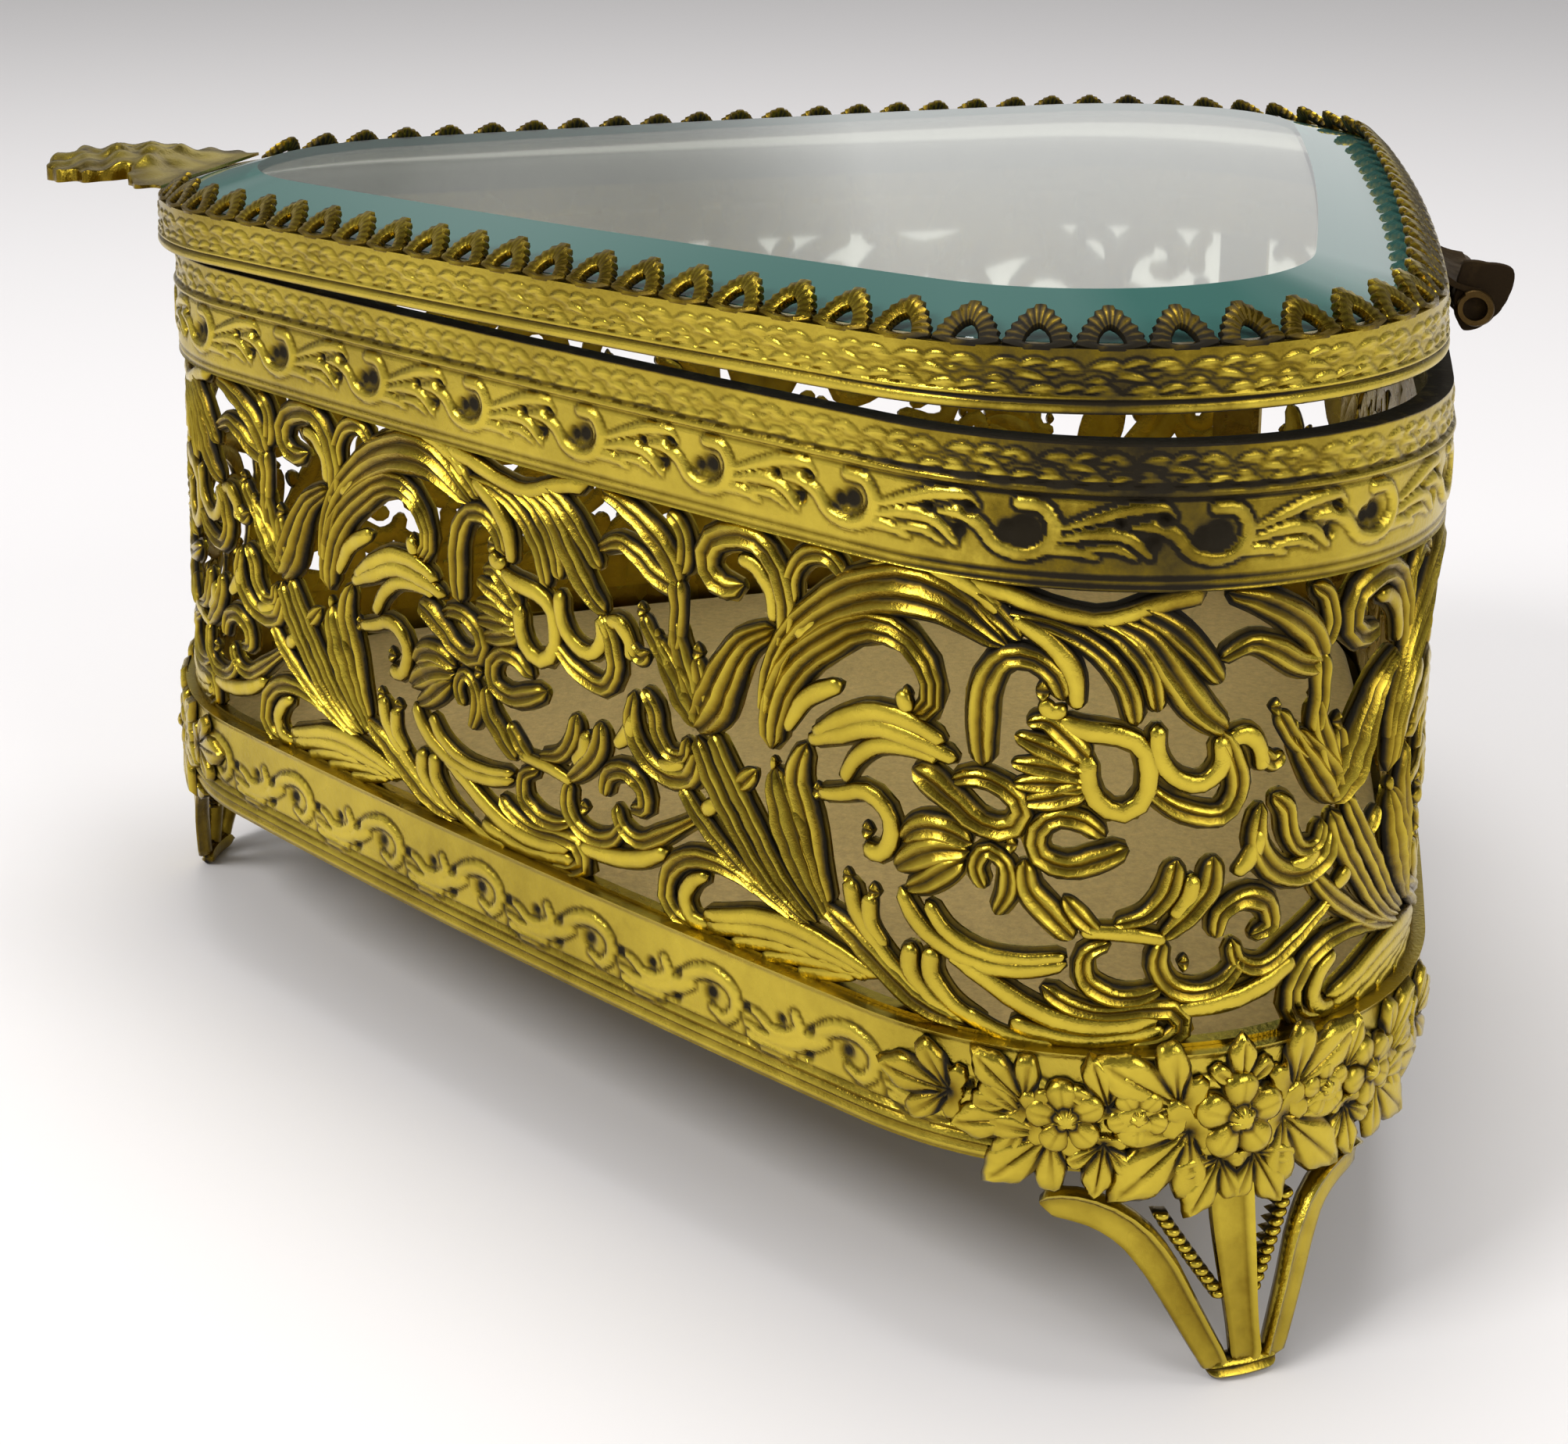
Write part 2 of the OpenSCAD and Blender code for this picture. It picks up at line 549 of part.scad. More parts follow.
// Cast thumb piece: a broad root leaf on the lid's front, and a scalloped flower beyond it.
module pull_tab() {
    root = tab_root_w / 2;
    w = tab_w / 2;
    y0 = -front_y;
    r = tab_reach;
    half = [[0, y0 - r], [0.35 * w, y0 - 0.98 * r], [0.55 * w, y0 - 0.9 * r], [0.85 * w, y0 - 0.84 * r],
        [w, y0 - 0.72 * r], [0.88 * w, y0 - 0.6 * r], [w, y0 - 0.48 * r], [0.8 * w, y0 - 0.34 * r],
        [0.62 * w, y0 - 0.26 * r], [0.75 * root, y0 - 0.18 * r], [root, y0 - 0.06 * r],
        [0.95 * root, y0 + 2.2]];
    other = [for (i = [len(half) - 1:-1:1]) [-half[i].x, half[i].y]];
    color(gilt) on_lid() translate([0, 0, tab_z]) linear_extrude(tab_t) polygon(concat(half, other));
}

module assembly() {
    translate([0, -centre_y, 0]) children();
}

assembly() floor_plate();
assembly() lining_pad();
assembly() floor_lugs();
assembly() base_band();
assembly() filigree_wall();
assembly() filigree_joint();
assembly() frieze_band();
assembly() rim_band();
assembly() corner_mount_front();
assembly() corner_mount_right();
assembly() corner_mount_left();
assembly() foot_front();
assembly() foot_right();
assembly() foot_left();
assembly() hinge_leaf_body();
assembly() hinge_pin();
assembly() hinge_leaf_lid();
assembly() lid_band();
assembly() glass_seat();
assembly() lid_glass();
assembly() gallery_crown();
assembly() pull_tab();
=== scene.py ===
"""Footed casket of gilt openwork with a bevelled glass lid.

Lengths are in millimetres up to the moment a mesh is made. "along" runs round the box from the middle of its
front, "up" is the height above the table, and "out" is measured square to the plan outline.
"""
import bpy
import numpy as np
from math import ceil, floor, pi, radians
from mathutils import Matrix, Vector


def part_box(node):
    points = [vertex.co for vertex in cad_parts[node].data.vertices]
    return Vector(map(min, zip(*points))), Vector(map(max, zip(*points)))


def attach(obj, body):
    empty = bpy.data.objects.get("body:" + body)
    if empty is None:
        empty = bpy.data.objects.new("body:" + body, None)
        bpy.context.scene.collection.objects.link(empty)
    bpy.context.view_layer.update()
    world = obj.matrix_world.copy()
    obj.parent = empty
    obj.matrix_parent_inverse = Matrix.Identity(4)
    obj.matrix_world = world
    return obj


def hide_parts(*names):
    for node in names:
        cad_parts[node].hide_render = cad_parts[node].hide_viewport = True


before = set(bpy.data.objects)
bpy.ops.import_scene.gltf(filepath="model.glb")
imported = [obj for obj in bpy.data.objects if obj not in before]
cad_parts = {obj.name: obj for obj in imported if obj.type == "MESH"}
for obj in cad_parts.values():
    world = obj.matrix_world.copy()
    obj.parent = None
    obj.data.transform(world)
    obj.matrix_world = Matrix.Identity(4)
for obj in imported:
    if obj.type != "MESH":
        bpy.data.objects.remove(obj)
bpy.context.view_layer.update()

MM = 0.001

# Plan outline: three corner arcs and three bowed sides.
CORNERS = ("front", "right", "left")
CORNER_R = 27.0
SIDE_LENGTH = 76.0
SIDE_TURN = radians(5.7)
CORNER_TURN = radians(120) - SIDE_TURN
SIDE_R = SIDE_LENGTH / SIDE_TURN
CORNER_C = (SIDE_R - CORNER_R) * np.sin(SIDE_TURN / 2) / np.sin(radians(60))
SIDE_C = (SIDE_R - CORNER_R) * np.cos(SIDE_TURN / 2) - CORNER_C / 2
FRONT_Y = CORNER_C + CORNER_R
BACK_Y = SIDE_R - SIDE_C
HALF_CORNER = CORNER_R * CORNER_TURN / 2
THIRD = 2 * HALF_CORNER + SIDE_LENGTH
GIRTH = 3 * THIRD

# Levels and faces, from the model's own pieces.
STRIP = 0.6
PROUD = 0.4
WALL_OUT = -STRIP / 2 - 0.02
WALL_IN = WALL_OUT - 1.0
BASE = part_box("base_band")[0].z / MM
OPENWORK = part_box("base_band")[1].z / MM
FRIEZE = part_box("frieze_band")[0].z / MM
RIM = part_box("rim_band")[0].z / MM
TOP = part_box("rim_band")[1].z / MM
SHIFT_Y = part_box("filigree_wall")[1].y / MM - BACK_Y - WALL_OUT
LID_LIFT = radians(1)
LID_FORWARD = 1.1
LID_Z = TOP + 0.4
LID_OVER = 0.7
LID_IN = LID_OVER - STRIP
BAND_H = 4.4
CROWN_TOP = BAND_H + 0.5

# Steps of the meshes.
STROKE_STEPS = 18
WEB_STEPS, WEB_SIDES = 14, 8
PAD_STEPS, PAD_RINGS = 76, 8
RING_STEPS = 480
STACK_STEPS = 360
ROUND_STEPS = 96


def round_wall(along, up, out):
    """Point of the wall: the arc at "along" gives a centre and a direction, and out adds to its radius."""
    along, up, out = np.broadcast_arrays(np.asarray(along, float), up, out)
    corner = np.floor(along / THIRD + 0.5)
    t = along - corner * THIRD
    facing = corner * radians(120) - pi / 2
    side = np.sign(t)
    on_corner = np.abs(t) < HALF_CORNER
    axis = np.where(on_corner, facing, facing + side * radians(60))
    turn = np.where(on_corner, t / CORNER_R, (t - side * THIRD / 2) / SIDE_R)
    centre = np.where(on_corner, CORNER_C, -SIDE_C)
    radius = np.where(on_corner, CORNER_R, SIDE_R) + out
    x = centre * np.cos(axis) + radius * np.cos(axis + turn)
    y = centre * np.sin(axis) + radius * np.sin(axis + turn) + SHIFT_Y
    return np.stack([x, y, up + 0 * x], -1)


def on_lid(points):
    """Set level points, drawn up from the lid's lower edge, on the lid: tipped at its front, and forward."""
    x, y, z = np.moveaxis(points, -1, 0)
    y = y - SHIFT_Y + FRONT_Y
    tipped_y = y * np.cos(LID_LIFT) - z * np.sin(LID_LIFT) - FRONT_Y - LID_FORWARD + SHIFT_Y
    return np.stack([x, tipped_y, y * np.sin(LID_LIFT) + z * np.cos(LID_LIFT) + LID_Z], -1)


def lid_wall(along, up, out):
    """Point of the lid's own wall, with up from the lid's lower edge."""
    return on_lid(round_wall(along, up, out))


def flowing(points, count):
    """Smooth curve through points: cubic pieces, slopes from the neighbours, steps that crowd at the ends.

    Gives the curve, the length up to each of its points, and the whole length.
    """
    p = np.array(points, float)
    t = np.concatenate([[0], np.cumsum(np.linalg.norm(np.diff(p[:, :2], axis=0), axis=1))])
    slope = np.gradient(p, t, axis=0)
    x = np.linspace(0, 1, count)
    u = t[-1] * (0.6 * x + 0.4 * (0.5 - 0.5 * np.cos(pi * x)))
    k = np.clip(np.searchsorted(t, u, side="right") - 1, 0, len(t) - 2)
    step = (t[k + 1] - t[k])[:, None]
    f = (u - t[k])[:, None] / step
    curve = ((2 * f**3 - 3 * f**2 + 1) * p[k] + (f**3 - 2 * f**2 + f) * step * slope[k]
             + (3 * f**2 - 2 * f**3) * p[k + 1] + (f**3 - f**2) * step * slope[k + 1])
    return curve, u, t[-1]


def square_to(curve, u, half, across):
    """Where a section's points lie when it stands square to a curve; across counts in half widths."""
    tangent = np.gradient(curve[:, :2], u, axis=0)
    tangent /= np.linalg.norm(tangent, axis=1)[:, None]
    along = curve[:, 0:1] - tangent[:, 1:2] * half[:, None] * across
    return along, curve[:, 1:2] + tangent[:, 0:1] * half[:, None] * across


def bell(distance, reach):
    """Smooth bump: 1 at no distance, 0.37 at its reach."""
    return np.exp(-(distance / reach) ** 2)


def dome(distance, reach):
    """Half ellipse: 1 at no distance, 0 from its reach on."""
    return np.sqrt(np.clip(1 - (distance / reach) ** 2, 0, 1))


# Meshes
def add_piece(name, points, faces, coat, node, bright, sharp=50):
    """Make a mesh of points in millimetres and arrays of faces, turned outwards.

    coat is its material, body and slot, though the slot is not used; node is the part that it stands for,
    and bright its crest at each point.
    """
    points = np.asarray(points, float).reshape(-1, 3)
    volume = sum(float(np.einsum("ij,ij->", points[f[:, 0]], np.cross(points[f[:, k]], points[f[:, k + 1]])))
                 for f in faces for k in range(1, f.shape[1] - 1))
    if volume < 0:
        faces = [f[:, ::-1] for f in faces]
    mesh = bpy.data.meshes.new(name)
    mesh.vertices.add(len(points))
    mesh.vertices.foreach_set("co", (points * MM).astype(np.float32).ravel())
    totals = np.concatenate([np.full(len(f), f.shape[1]) for f in faces])
    mesh.loops.add(int(totals.sum()))
    mesh.loops.foreach_set("vertex_index", np.concatenate([f.ravel() for f in faces]).astype(np.int32))
    mesh.polygons.add(len(totals))
    mesh.polygons.foreach_set("loop_start", np.concatenate([[0], np.cumsum(totals)[:-1]]).astype(np.int32))
    mesh.polygons.foreach_set("loop_total", totals.astype(np.int32))
    mesh.polygons.foreach_set("use_smooth", np.ones(len(totals), bool))
    mesh.update(calc_edges=True)
    mesh.set_sharp_from_angle(angle=radians(sharp))
    # The crest attribute holds bright: painted shade and highlight on metal, the flat middle on glass.
    crest = mesh.attributes.new("crest", "FLOAT", "POINT")
    crest.data.foreach_set("value", np.asarray(bright, np.float32).ravel())
    material, body, slot = coat
    mesh.materials.append(material)
    piece = bpy.data.objects.new(name, mesh)
    bpy.context.scene.collection.objects.link(piece)
    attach(piece, body)
    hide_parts(node)
    return piece


def grid_faces(rows, columns, closed_rows=True):
    """Four-sided faces of a grid of points whose columns close up, and by choice its rows."""
    i = np.arange(rows if closed_rows else rows - 1)[:, None]
    j = np.arange(columns)[None, :]
    low, high, j2 = i * columns, (i + 1) % rows * columns, (j + 1) % columns
    return np.stack([low + j, low + j2, high + j2, high + j], -1).reshape(-1, 4)


def capped(rows, columns):
    """Faces of a row of sections: the sides, and a flat face at each end."""
    section = np.arange(columns)
    ends = np.stack([section[::-1], (rows - 1) * columns + section])
    return [grid_faces(rows, columns, closed_rows=False), ends]


def many(faces, copies, stride):
    """The same faces again for every copy of a shape whose points follow each other."""
    return (faces[None] + (np.arange(copies) * stride)[:, None, None]).reshape(-1, faces.shape[1])


def square_ring(name, place, low, high, outer, inner, coat, node, shade):
    """Ring of square section that follows the outline between two levels and two faces."""
    along = np.arange(RING_STEPS) * GIRTH / RING_STEPS
    corners = np.array([(outer, low), (outer, high), (inner, high), (inner, low)])
    points = place(along[:, None], corners[None, :, 1], corners[None, :, 0])
    add_piece(name, points, [grid_faces(RING_STEPS, 4)], coat, node, np.full(points.shape[:2], shade))


def closed_stack(name, levels, place, coat, node, bright, sharp):
    """Solid of rings that follow the outline, as (out, up) from below to above, with a fan at each end."""
    along = np.arange(STACK_STEPS) * GIRTH / STACK_STEPS
    rings = np.array(levels)
    points = place(along[None, :], rings[:, 1:2], rings[:, 0:1])
    middle = points.mean(1)
    points = np.concatenate([points.reshape(-1, 3), middle[:1], middle[-1:]])
    i = np.arange(STACK_STEPS)
    j = (i + 1) % STACK_STEPS
    last = (len(levels) - 1) * STACK_STEPS
    low_fan = np.stack([j, i, np.full(STACK_STEPS, len(points) - 2)], -1)
    high_fan = np.stack([last + i, last + j, np.full(STACK_STEPS, len(points) - 1)], -1)
    shade = np.append(np.repeat(bright, STACK_STEPS), [1, 1])
    sides = grid_faces(len(levels), STACK_STEPS, closed_rows=False)
    return add_piece(name, points, [sides, low_fan, high_fan], coat, node, shade, sharp)


# Strokes: the scrolls, stems and leaf lobes that the ornament is made of.
def stroke_section(flutes):
    """Half round section with a flat back, as (across, rise, sink, brightness).

    The rise is a power of the angle's sine. Flutes are lengthwise ridges, by a cosine of the place across.
    """
    top = 7 + 4 * flutes if flutes > 1 else 9
    across = np.cos(np.linspace(0, pi, top))
    rise = np.sin(np.linspace(0, pi, top)) ** 0.55
    ripple = 0.5 - 0.5 * (-1) ** flutes * np.cos(flutes * pi * across) if flutes > 1 else np.ones(top)
    # Painted shade and highlight: bright along each ridge, darker down the sides and in the flutes' valleys.
    shade = rise ** 1.8 * (0.15 + 0.85 * ripple)
    back = np.cos(np.linspace(pi, 2 * pi, 5)[1:-1])
    flat = np.zeros(3)
    return (np.concatenate([across, back]), np.concatenate([rise * (0.5 + 0.5 * ripple), flat]),
            np.concatenate([np.zeros(top), [0.8, 1, 0.8]]), np.concatenate([shade, flat + 0.5]))


def band_section():
    """Flat band whose inner edge stands up in a round ridge, as (across, rise, sink, brightness)."""
    across = np.array([1.0, 0.97, 0.82, 0.62, 0.48, 0.3, -0.2, -0.65, -0.93, -1.0, -0.6, 0.0, 0.6])
    rise = np.array([0.0, 0.62, 1.0, 0.9, 0.55, 0.42, 0.4, 0.46, 0.36, 0.0, 0.0, 0.0, 0.0])
    # Painted shade and highlight: the ridge is brightest, the flat and both edges are darker.
    shade = np.array([0.4, 0.9, 1.0, 0.95, 0.45, 0.6, 0.7, 0.75, 0.5, 0.2, 0.4, 0.4, 0.4])
    return -across, rise, np.array([0.0] * 10 + [0.8, 1.0, 0.8]), shade


def stroke_points(path, mid, thick, swell, waver, section):
    """Loft of a section along one stroke on the unrolled wall. Path points are (along, up, width[, out]).

    The section stands square to the stroke. Its rise is 0.3 mm and a share of the width, both waver by a sine
    of the length, and both close to a round tip at each end as the square root of the distance does.
    """
    path = [tuple(p) + (0.0,) * (4 - len(p)) for p in path]
    curve, u, length = flowing(path, STROKE_STEPS)
    width = np.maximum(curve[:, 2], 0.15) * (1 + waver * np.sin(2.1 * u + 1.7 * curve[0, 0]))
    near = np.minimum(u / (width[0] / 2), (length - u) / (width[-1] / 2))
    tip = np.sqrt(1 - (1 - np.clip(near, 0.02, 1)) ** 2)
    across, rise, sink, shade = section
    along, up = square_to(curve, u, width * tip / 2, across)
    tall = tip * (0.3 + swell * width) * (1 + 2 * waver * np.sin(2.7 * u + 2.3 * curve[0, 1]))
    out = mid + curve[:, 3:4] + tall[:, None] * rise - thick * sink
    # Painted shade: the brightness falls towards the round tips, where the stroke sinks to the wall.
    return along, up, out, shade * (0.4 + 0.6 * tip[:, None])


def strokes(name, paths, node, mid, thick, swell, waver=0.0, section=None):
    """One piece of many strokes on the wall. Wide strokes get two or three flutes."""
    points, bright, faces, start = [], [], [], 0
    for path in paths:
        widest = max(p[2] for p in path)
        flutes = 1 if widest < 1.7 else (2 if widest < 2.7 else 3)
        chosen = section or stroke_section(flutes)
        along, up, out, shade = stroke_points(path, mid, thick, swell, waver, chosen)
        points.append(round_wall(along, up, out).reshape(-1, 3))
        bright.append(shade.ravel())
        faces += [f + start for f in capped(*along.shape)]
        start += along.size
    add_piece(name, np.concatenate(points), faces, WALL_GILT, node, np.concatenate(bright))


def shadow_webs(name, paths, node, front, back, wider):
    """Low ground under the strokes, front painted dark as shadow: flat bars of lens section, wider than them.
    """
    angle = np.linspace(0, 2 * pi, WEB_SIDES, endpoint=False) + pi / WEB_SIDES
    across, deep = np.cos(angle), 0.5 + 0.5 * np.clip(1.3 * np.sin(angle), -1, 1)
    points = []
    for path in paths:
        curve, u, length = flowing(path, WEB_STEPS)
        tip = np.sqrt(1 - (1 - np.clip(np.minimum(u, length - u) / curve[:, 2] * 2, 0.1, 1)) ** 2)
        along, up = square_to(curve, u, (curve[:, 2] / 2 + wider) * tip, across)
        points.append(round_wall(along, up, back + (front - back) * deep + 0 * along))
    faces = [many(f, len(paths), WEB_STEPS * WEB_SIDES) for f in capped(WEB_STEPS, WEB_SIDES)]
    # The front is painted nearly black, as the shadow round the strokes.
    bright = np.broadcast_to(0.08 + 0.6 * (1 - deep), (len(paths), WEB_STEPS, WEB_SIDES))
    add_piece(name, np.stack(points), faces, WALL_GILT, node, bright)


def pads(name, items, node, back):
    """Leaves and flowers as height fields in polar grids about their own middles, with flat backs.

    An item is (along, up, turn, edge, height): edge gives the outline's distance for each angle, and height
    gives rise and painted shade and highlight for each distance (as a share of the edge's) and angle.
    """
    angle = np.linspace(-pi, pi, PAD_STEPS, endpoint=False)
    share = np.linspace(0, 1, PAD_RINGS + 1)[1:] ** 0.85
    points, bright = [], []
    for along, up, turn, edge, height in items:
        reach = edge(angle)[None, :]
        x = share[:, None] * reach * np.cos(angle)[None, :]
        y = share[:, None] * reach * np.sin(angle)[None, :]
        rise, shade = height(share[:, None] + 0 * x, angle[None, :] + 0 * x, reach + 0 * x)
        middle, middle_shade = height(np.full((1, 1), 1e-3), np.zeros((1, 1)), np.full((1, 1), reach.mean()))
        s = along + x * np.cos(turn) - y * np.sin(turn)
        z = up + x * np.sin(turn) + y * np.cos(turn)
        s = np.concatenate([[along], s.ravel(), s[-1], [along]])
        z = np.concatenate([[up], z.ravel(), z[-1], [up]])
        out = np.concatenate([middle[0], rise.ravel(), 0 * angle, [0.0]]) + back
        points.append(round_wall(s, z, out))
        bright.append(np.concatenate([middle_shade[0], shade.ravel(), 0 * angle, [0.0]]))
    each = len(points[0])
    i = np.arange(PAD_STEPS)
    j = (i + 1) % PAD_STEPS
    last = 1 + PAD_RINGS * PAD_STEPS
    fans = np.stack([0 * i, 1 + i, 1 + j], -1), np.stack([0 * i + each - 1, last + j, last + i], -1)
    sides = grid_faces(PAD_RINGS + 1, PAD_STEPS, closed_rows=False) + 1
    faces = [many(f, len(points), each) for f in (*fans, sides)]
    add_piece(name, np.stack(points), faces, WALL_GILT, node, np.stack(bright), sharp=55)


def flower(along, up, r, turn, rise):
    """Flower: |cos| of a multiple of the angle parts its petals; each swells, and a domed eye stands up."""
    petals, eye_r = 5, 0.24

    def edge(angle):
        return r * (0.6 + 0.4 * np.abs(np.cos(petals * angle / 2)) ** 0.5)

    def height(share, angle, reach):
        far = share * reach / r
        petal = np.abs(np.cos(petals * angle / 2))
        body = (0.4 + 0.6 * share) * np.sqrt(np.clip(1 - share ** 5, 0, 1)) * (0.4 + 0.6 * petal ** 0.45)
        off = np.abs((angle * petals / (2 * pi) + 0.5) % 1 - 0.5) * 2 * pi / petals
        fold = bell(far * np.sin(off), 0.045)
        tall = np.where(far < eye_r, 0.5 + 0.6 * dome(far, eye_r), body)
        # Painted shade round the eye, between the petals and along each petal's fold; higher parts painted
        # brighter.
        dark = bell(far - 0.27, 0.06) + 0.9 * (1 - petal ** 0.3) * (far > 0.25)
        dark = dark + 0.35 * fold * (far > 0.3) * (share < 0.8)
        return 0.15 + rise * tall, np.clip(0.3 + 0.85 * tall - 0.85 * dark, 0, 1)
    return along, up, turn, edge, height


def leaf(along, up, length, angle, rise=0.8):
    """Leaf: the longest of five lobes gives its edge, and veins are cut along and between the lobes."""
    lobes = ((0, 1.0, 30), (50, 0.84, 29), (-50, 0.84, 29), (104, 0.5, 36), (-104, 0.5, 36))

    def edge(a):
        reach = 0.2
        for middle, long, wide in lobes:
            off = np.minimum(np.abs(np.degrees(a) - middle) / wide, 1.6)
            reach = np.maximum(reach, long * (1 - 0.46 * off ** 1.35))
        return length * reach * np.hypot(np.cos(a), 0.8 * np.sin(a)) * (1 + 0.035 * np.cos(19 * a))

    def height(share, a, reach):
        far = share * reach
        body = (0.35 + 0.65 * share ** 0.7) * np.sqrt(np.clip(1 - share ** 8, 0, 1))
        body = body * (0.55 + 0.45 * reach / (length * 0.95))
        vein = 0
        for middles, wide, deep, shown in (((0, 50, -50), 0.12, 0.7, share < 0.8),
                                           ((-74, -26, 26, 74), 0.2, 1.0, share > 0.2)):
            for middle in middles:
                aside = far * np.sin(np.minimum(np.abs(a - radians(middle)), pi / 2))
                vein = np.maximum(vein, deep * bell(aside, wide) * shown)
        # Painted shade in the veins and at the leaf's middle; higher parts painted brighter.
        shade = 0.3 + 0.8 * body - 0.85 * vein - 0.5 * bell(far, 0.7)
        return 0.12 + rise * body - 0.3 * vein, np.clip(shade, 0, 1)
    return along, up, radians(angle), edge, height


def knob(along, up, r):
    """Short stroke that closes to a round knob."""
    return [(along - r * 0.55, up, 2 * r), (along, up, 2 * r), (along + r * 0.55, up, 2 * r)]


# Materials
def feed(node, values):
    """Give a node's inputs, by name or place, numbers or other nodes' outputs."""
    for key, value in values.items():
        if isinstance(value, bpy.types.NodeSocket):
            node.id_data.links.new(value, node.inputs[key])
        else:
            node.inputs[key].default_value = value
    return node


def new_material(name):
    """New material, with its node tree and its Principled shader."""
    material = bpy.data.materials.new(name)
    material.use_nodes = True
    return material, material.node_tree, material.node_tree.nodes["Principled BSDF"]


def coordinates(tree, kind="Object"):
    """The shaded point's place, in the object's own frame or another kind of coordinates."""
    return tree.nodes.new("ShaderNodeTexCoord").outputs[kind]


def noise(tree, place, scale, detail, rough):
    """Noise whose scale is in features to the unit of its place."""
    node = tree.nodes.new("ShaderNodeTexNoise")
    return feed(node, {"Vector": place, "Scale": scale, "Detail": detail, "Roughness": rough}).outputs["Fac"]


def ramp(tree, value, *stops):
    """Colour ramp with (position, colour) stops; a single number stands for a grey."""
    node = tree.nodes.new("ShaderNodeValToRGB")
    elements = node.color_ramp.elements
    while len(elements) < len(stops):
        elements.new(0.5)
    for element, (position, colour) in zip(elements, stops):
        element.position = position
        element.color = (*(colour if isinstance(colour, tuple) else (colour,) * 3), 1)
    return feed(node, {"Fac": value}).outputs["Color"]


def calc(tree, operation, first, second):
    """Result of a Math node on two values."""
    node = tree.nodes.new("ShaderNodeMath")
    node.operation = operation
    return feed(node, {0: first, 1: second}).outputs[0]


def crest_of(tree):
    """The crest attribute of the mesh."""
    node = tree.nodes.new("ShaderNodeAttribute")
    node.attribute_name = "crest"
    return node.outputs["Fac"]


def grain(tree, height, strength, distance):
    """Normal bumped by a height."""
    node = tree.nodes.new("ShaderNodeBump")
    return feed(node, {"Height": height, "Strength": strength, "Distance": distance}).outputs["Normal"]


STAIN_AT = round_wall(118.0, 67.0, 0.0) * MM
STAIN_CORE, STAIN_END = 5 * MM, 17 * MM
# Levels of the gilt: the deepest is painted deep shade and stain, the next painted shade and tarnish.
DEEPEST_LEVEL, SHADE_LEVEL = 0.04, 0.36


def shaded_antiqued_gilt(name, lit, shade_and_tarnish, deep_shade_and_stain, rough, low_metallic=0.0, lift=0.0):
    """Gilding over stamped metal, by level from painted deep shade in pits to painted highlights on crests.

    The level is the crest attribute, painted shade and highlight, with a mottle, lowered by a broad tarnish
    and near the stain on the rim. The low colours are painted shade as well as tarnish and stain.
    """
    material, tree, shader = new_material(name)
    place = coordinates(tree)
    mottle = calc(tree, "MULTIPLY", noise(tree, place, 420.0, 5.0, 0.65), 0.5)
    uneven = calc(tree, "ADD", crest_of(tree), calc(tree, "SUBTRACT", mottle, 0.25 - lift))
    tarnish = ramp(tree, noise(tree, place, 60.0, 2.0, 0.5), (0.35, 0.72), (0.6, 1.0))
    far = tree.nodes.new("ShaderNodeVectorMath")
    far.operation = "DISTANCE"
    feed(far, {0: place, 1: STAIN_AT})
    stain = ramp(tree, far.outputs["Value"], (STAIN_CORE, 1.0), (STAIN_END, 0.0))
    darkening = calc(tree, "ADD", calc(tree, "MULTIPLY", stain, 4.0), 1.0)
    level = calc(tree, "POWER", calc(tree, "MULTIPLY", uneven, tarnish), darkening)
    fair = tuple(0.35 * a + 0.65 * b for a, b in zip(shade_and_tarnish, lit))
    finish = ramp(tree, noise(tree, place, 130.0, 3.0, 0.5), (0.3, rough * 0.75), (0.7, rough * 1.5))
    # Painted deep shade and stain turn less metallic and rougher; the colour rises from shade to lit gold.
    rough_when_low = ramp(tree, level, (DEEPEST_LEVEL, 0.5), (SHADE_LEVEL * 0.8, 0.0))
    feed(shader, {"Base Color": ramp(tree, level, (0.05, deep_shade_and_stain), (SHADE_LEVEL, shade_and_tarnish), (0.72, fair), (1.0, lit)),
                  "Metallic": ramp(tree, level, (DEEPEST_LEVEL, low_metallic), (SHADE_LEVEL * 0.8, 1.0)),
                  "Roughness": calc(tree, "ADD", finish, rough_when_low),
                  "Normal": grain(tree, noise(tree, place, 2600.0, 3.0, 0.6), 0.35, 0.00012),
                  "Specular IOR Level": 0.2})
    return material


def velvet():
    """Taupe pile: a mottled colour, a soft sheen and a fine nap."""
    material, tree, shader = new_material("taupe_velvet")
    nap = noise(tree, coordinates(tree), 1500.0, 4.0, 0.7)
    feed(shader, {"Base Color": ramp(tree, nap, (0.3, (0.41, 0.28, 0.11)), (0.7, (0.6, 0.41, 0.165))),
                  "Normal": grain(tree, nap, 0.6, 0.0002), "Roughness": 0.95, "Sheen Weight": 0.8,
                  "Sheen Roughness": 0.4, "Sheen Tint": (0.62, 0.51, 0.34, 1)})
    return material


def clear_glass():
    """Polished glass: clear in its flat middle, green blue in the bevel, where the crest attribute is 0."""
    material, tree, shader = new_material("bevelled_glass")
    flat = crest_of(tree)
    feed(shader, {"Base Color": ramp(tree, flat, (0.0, (0.07, 0.21, 0.18)), (1.0, (0.78, 0.81, 0.69))),
                  "Transmission Weight": ramp(tree, flat, (0.0, 0.5), (1.0, 1.0)),
                  "Roughness": 0.02, "IOR": 1.5})
    return material


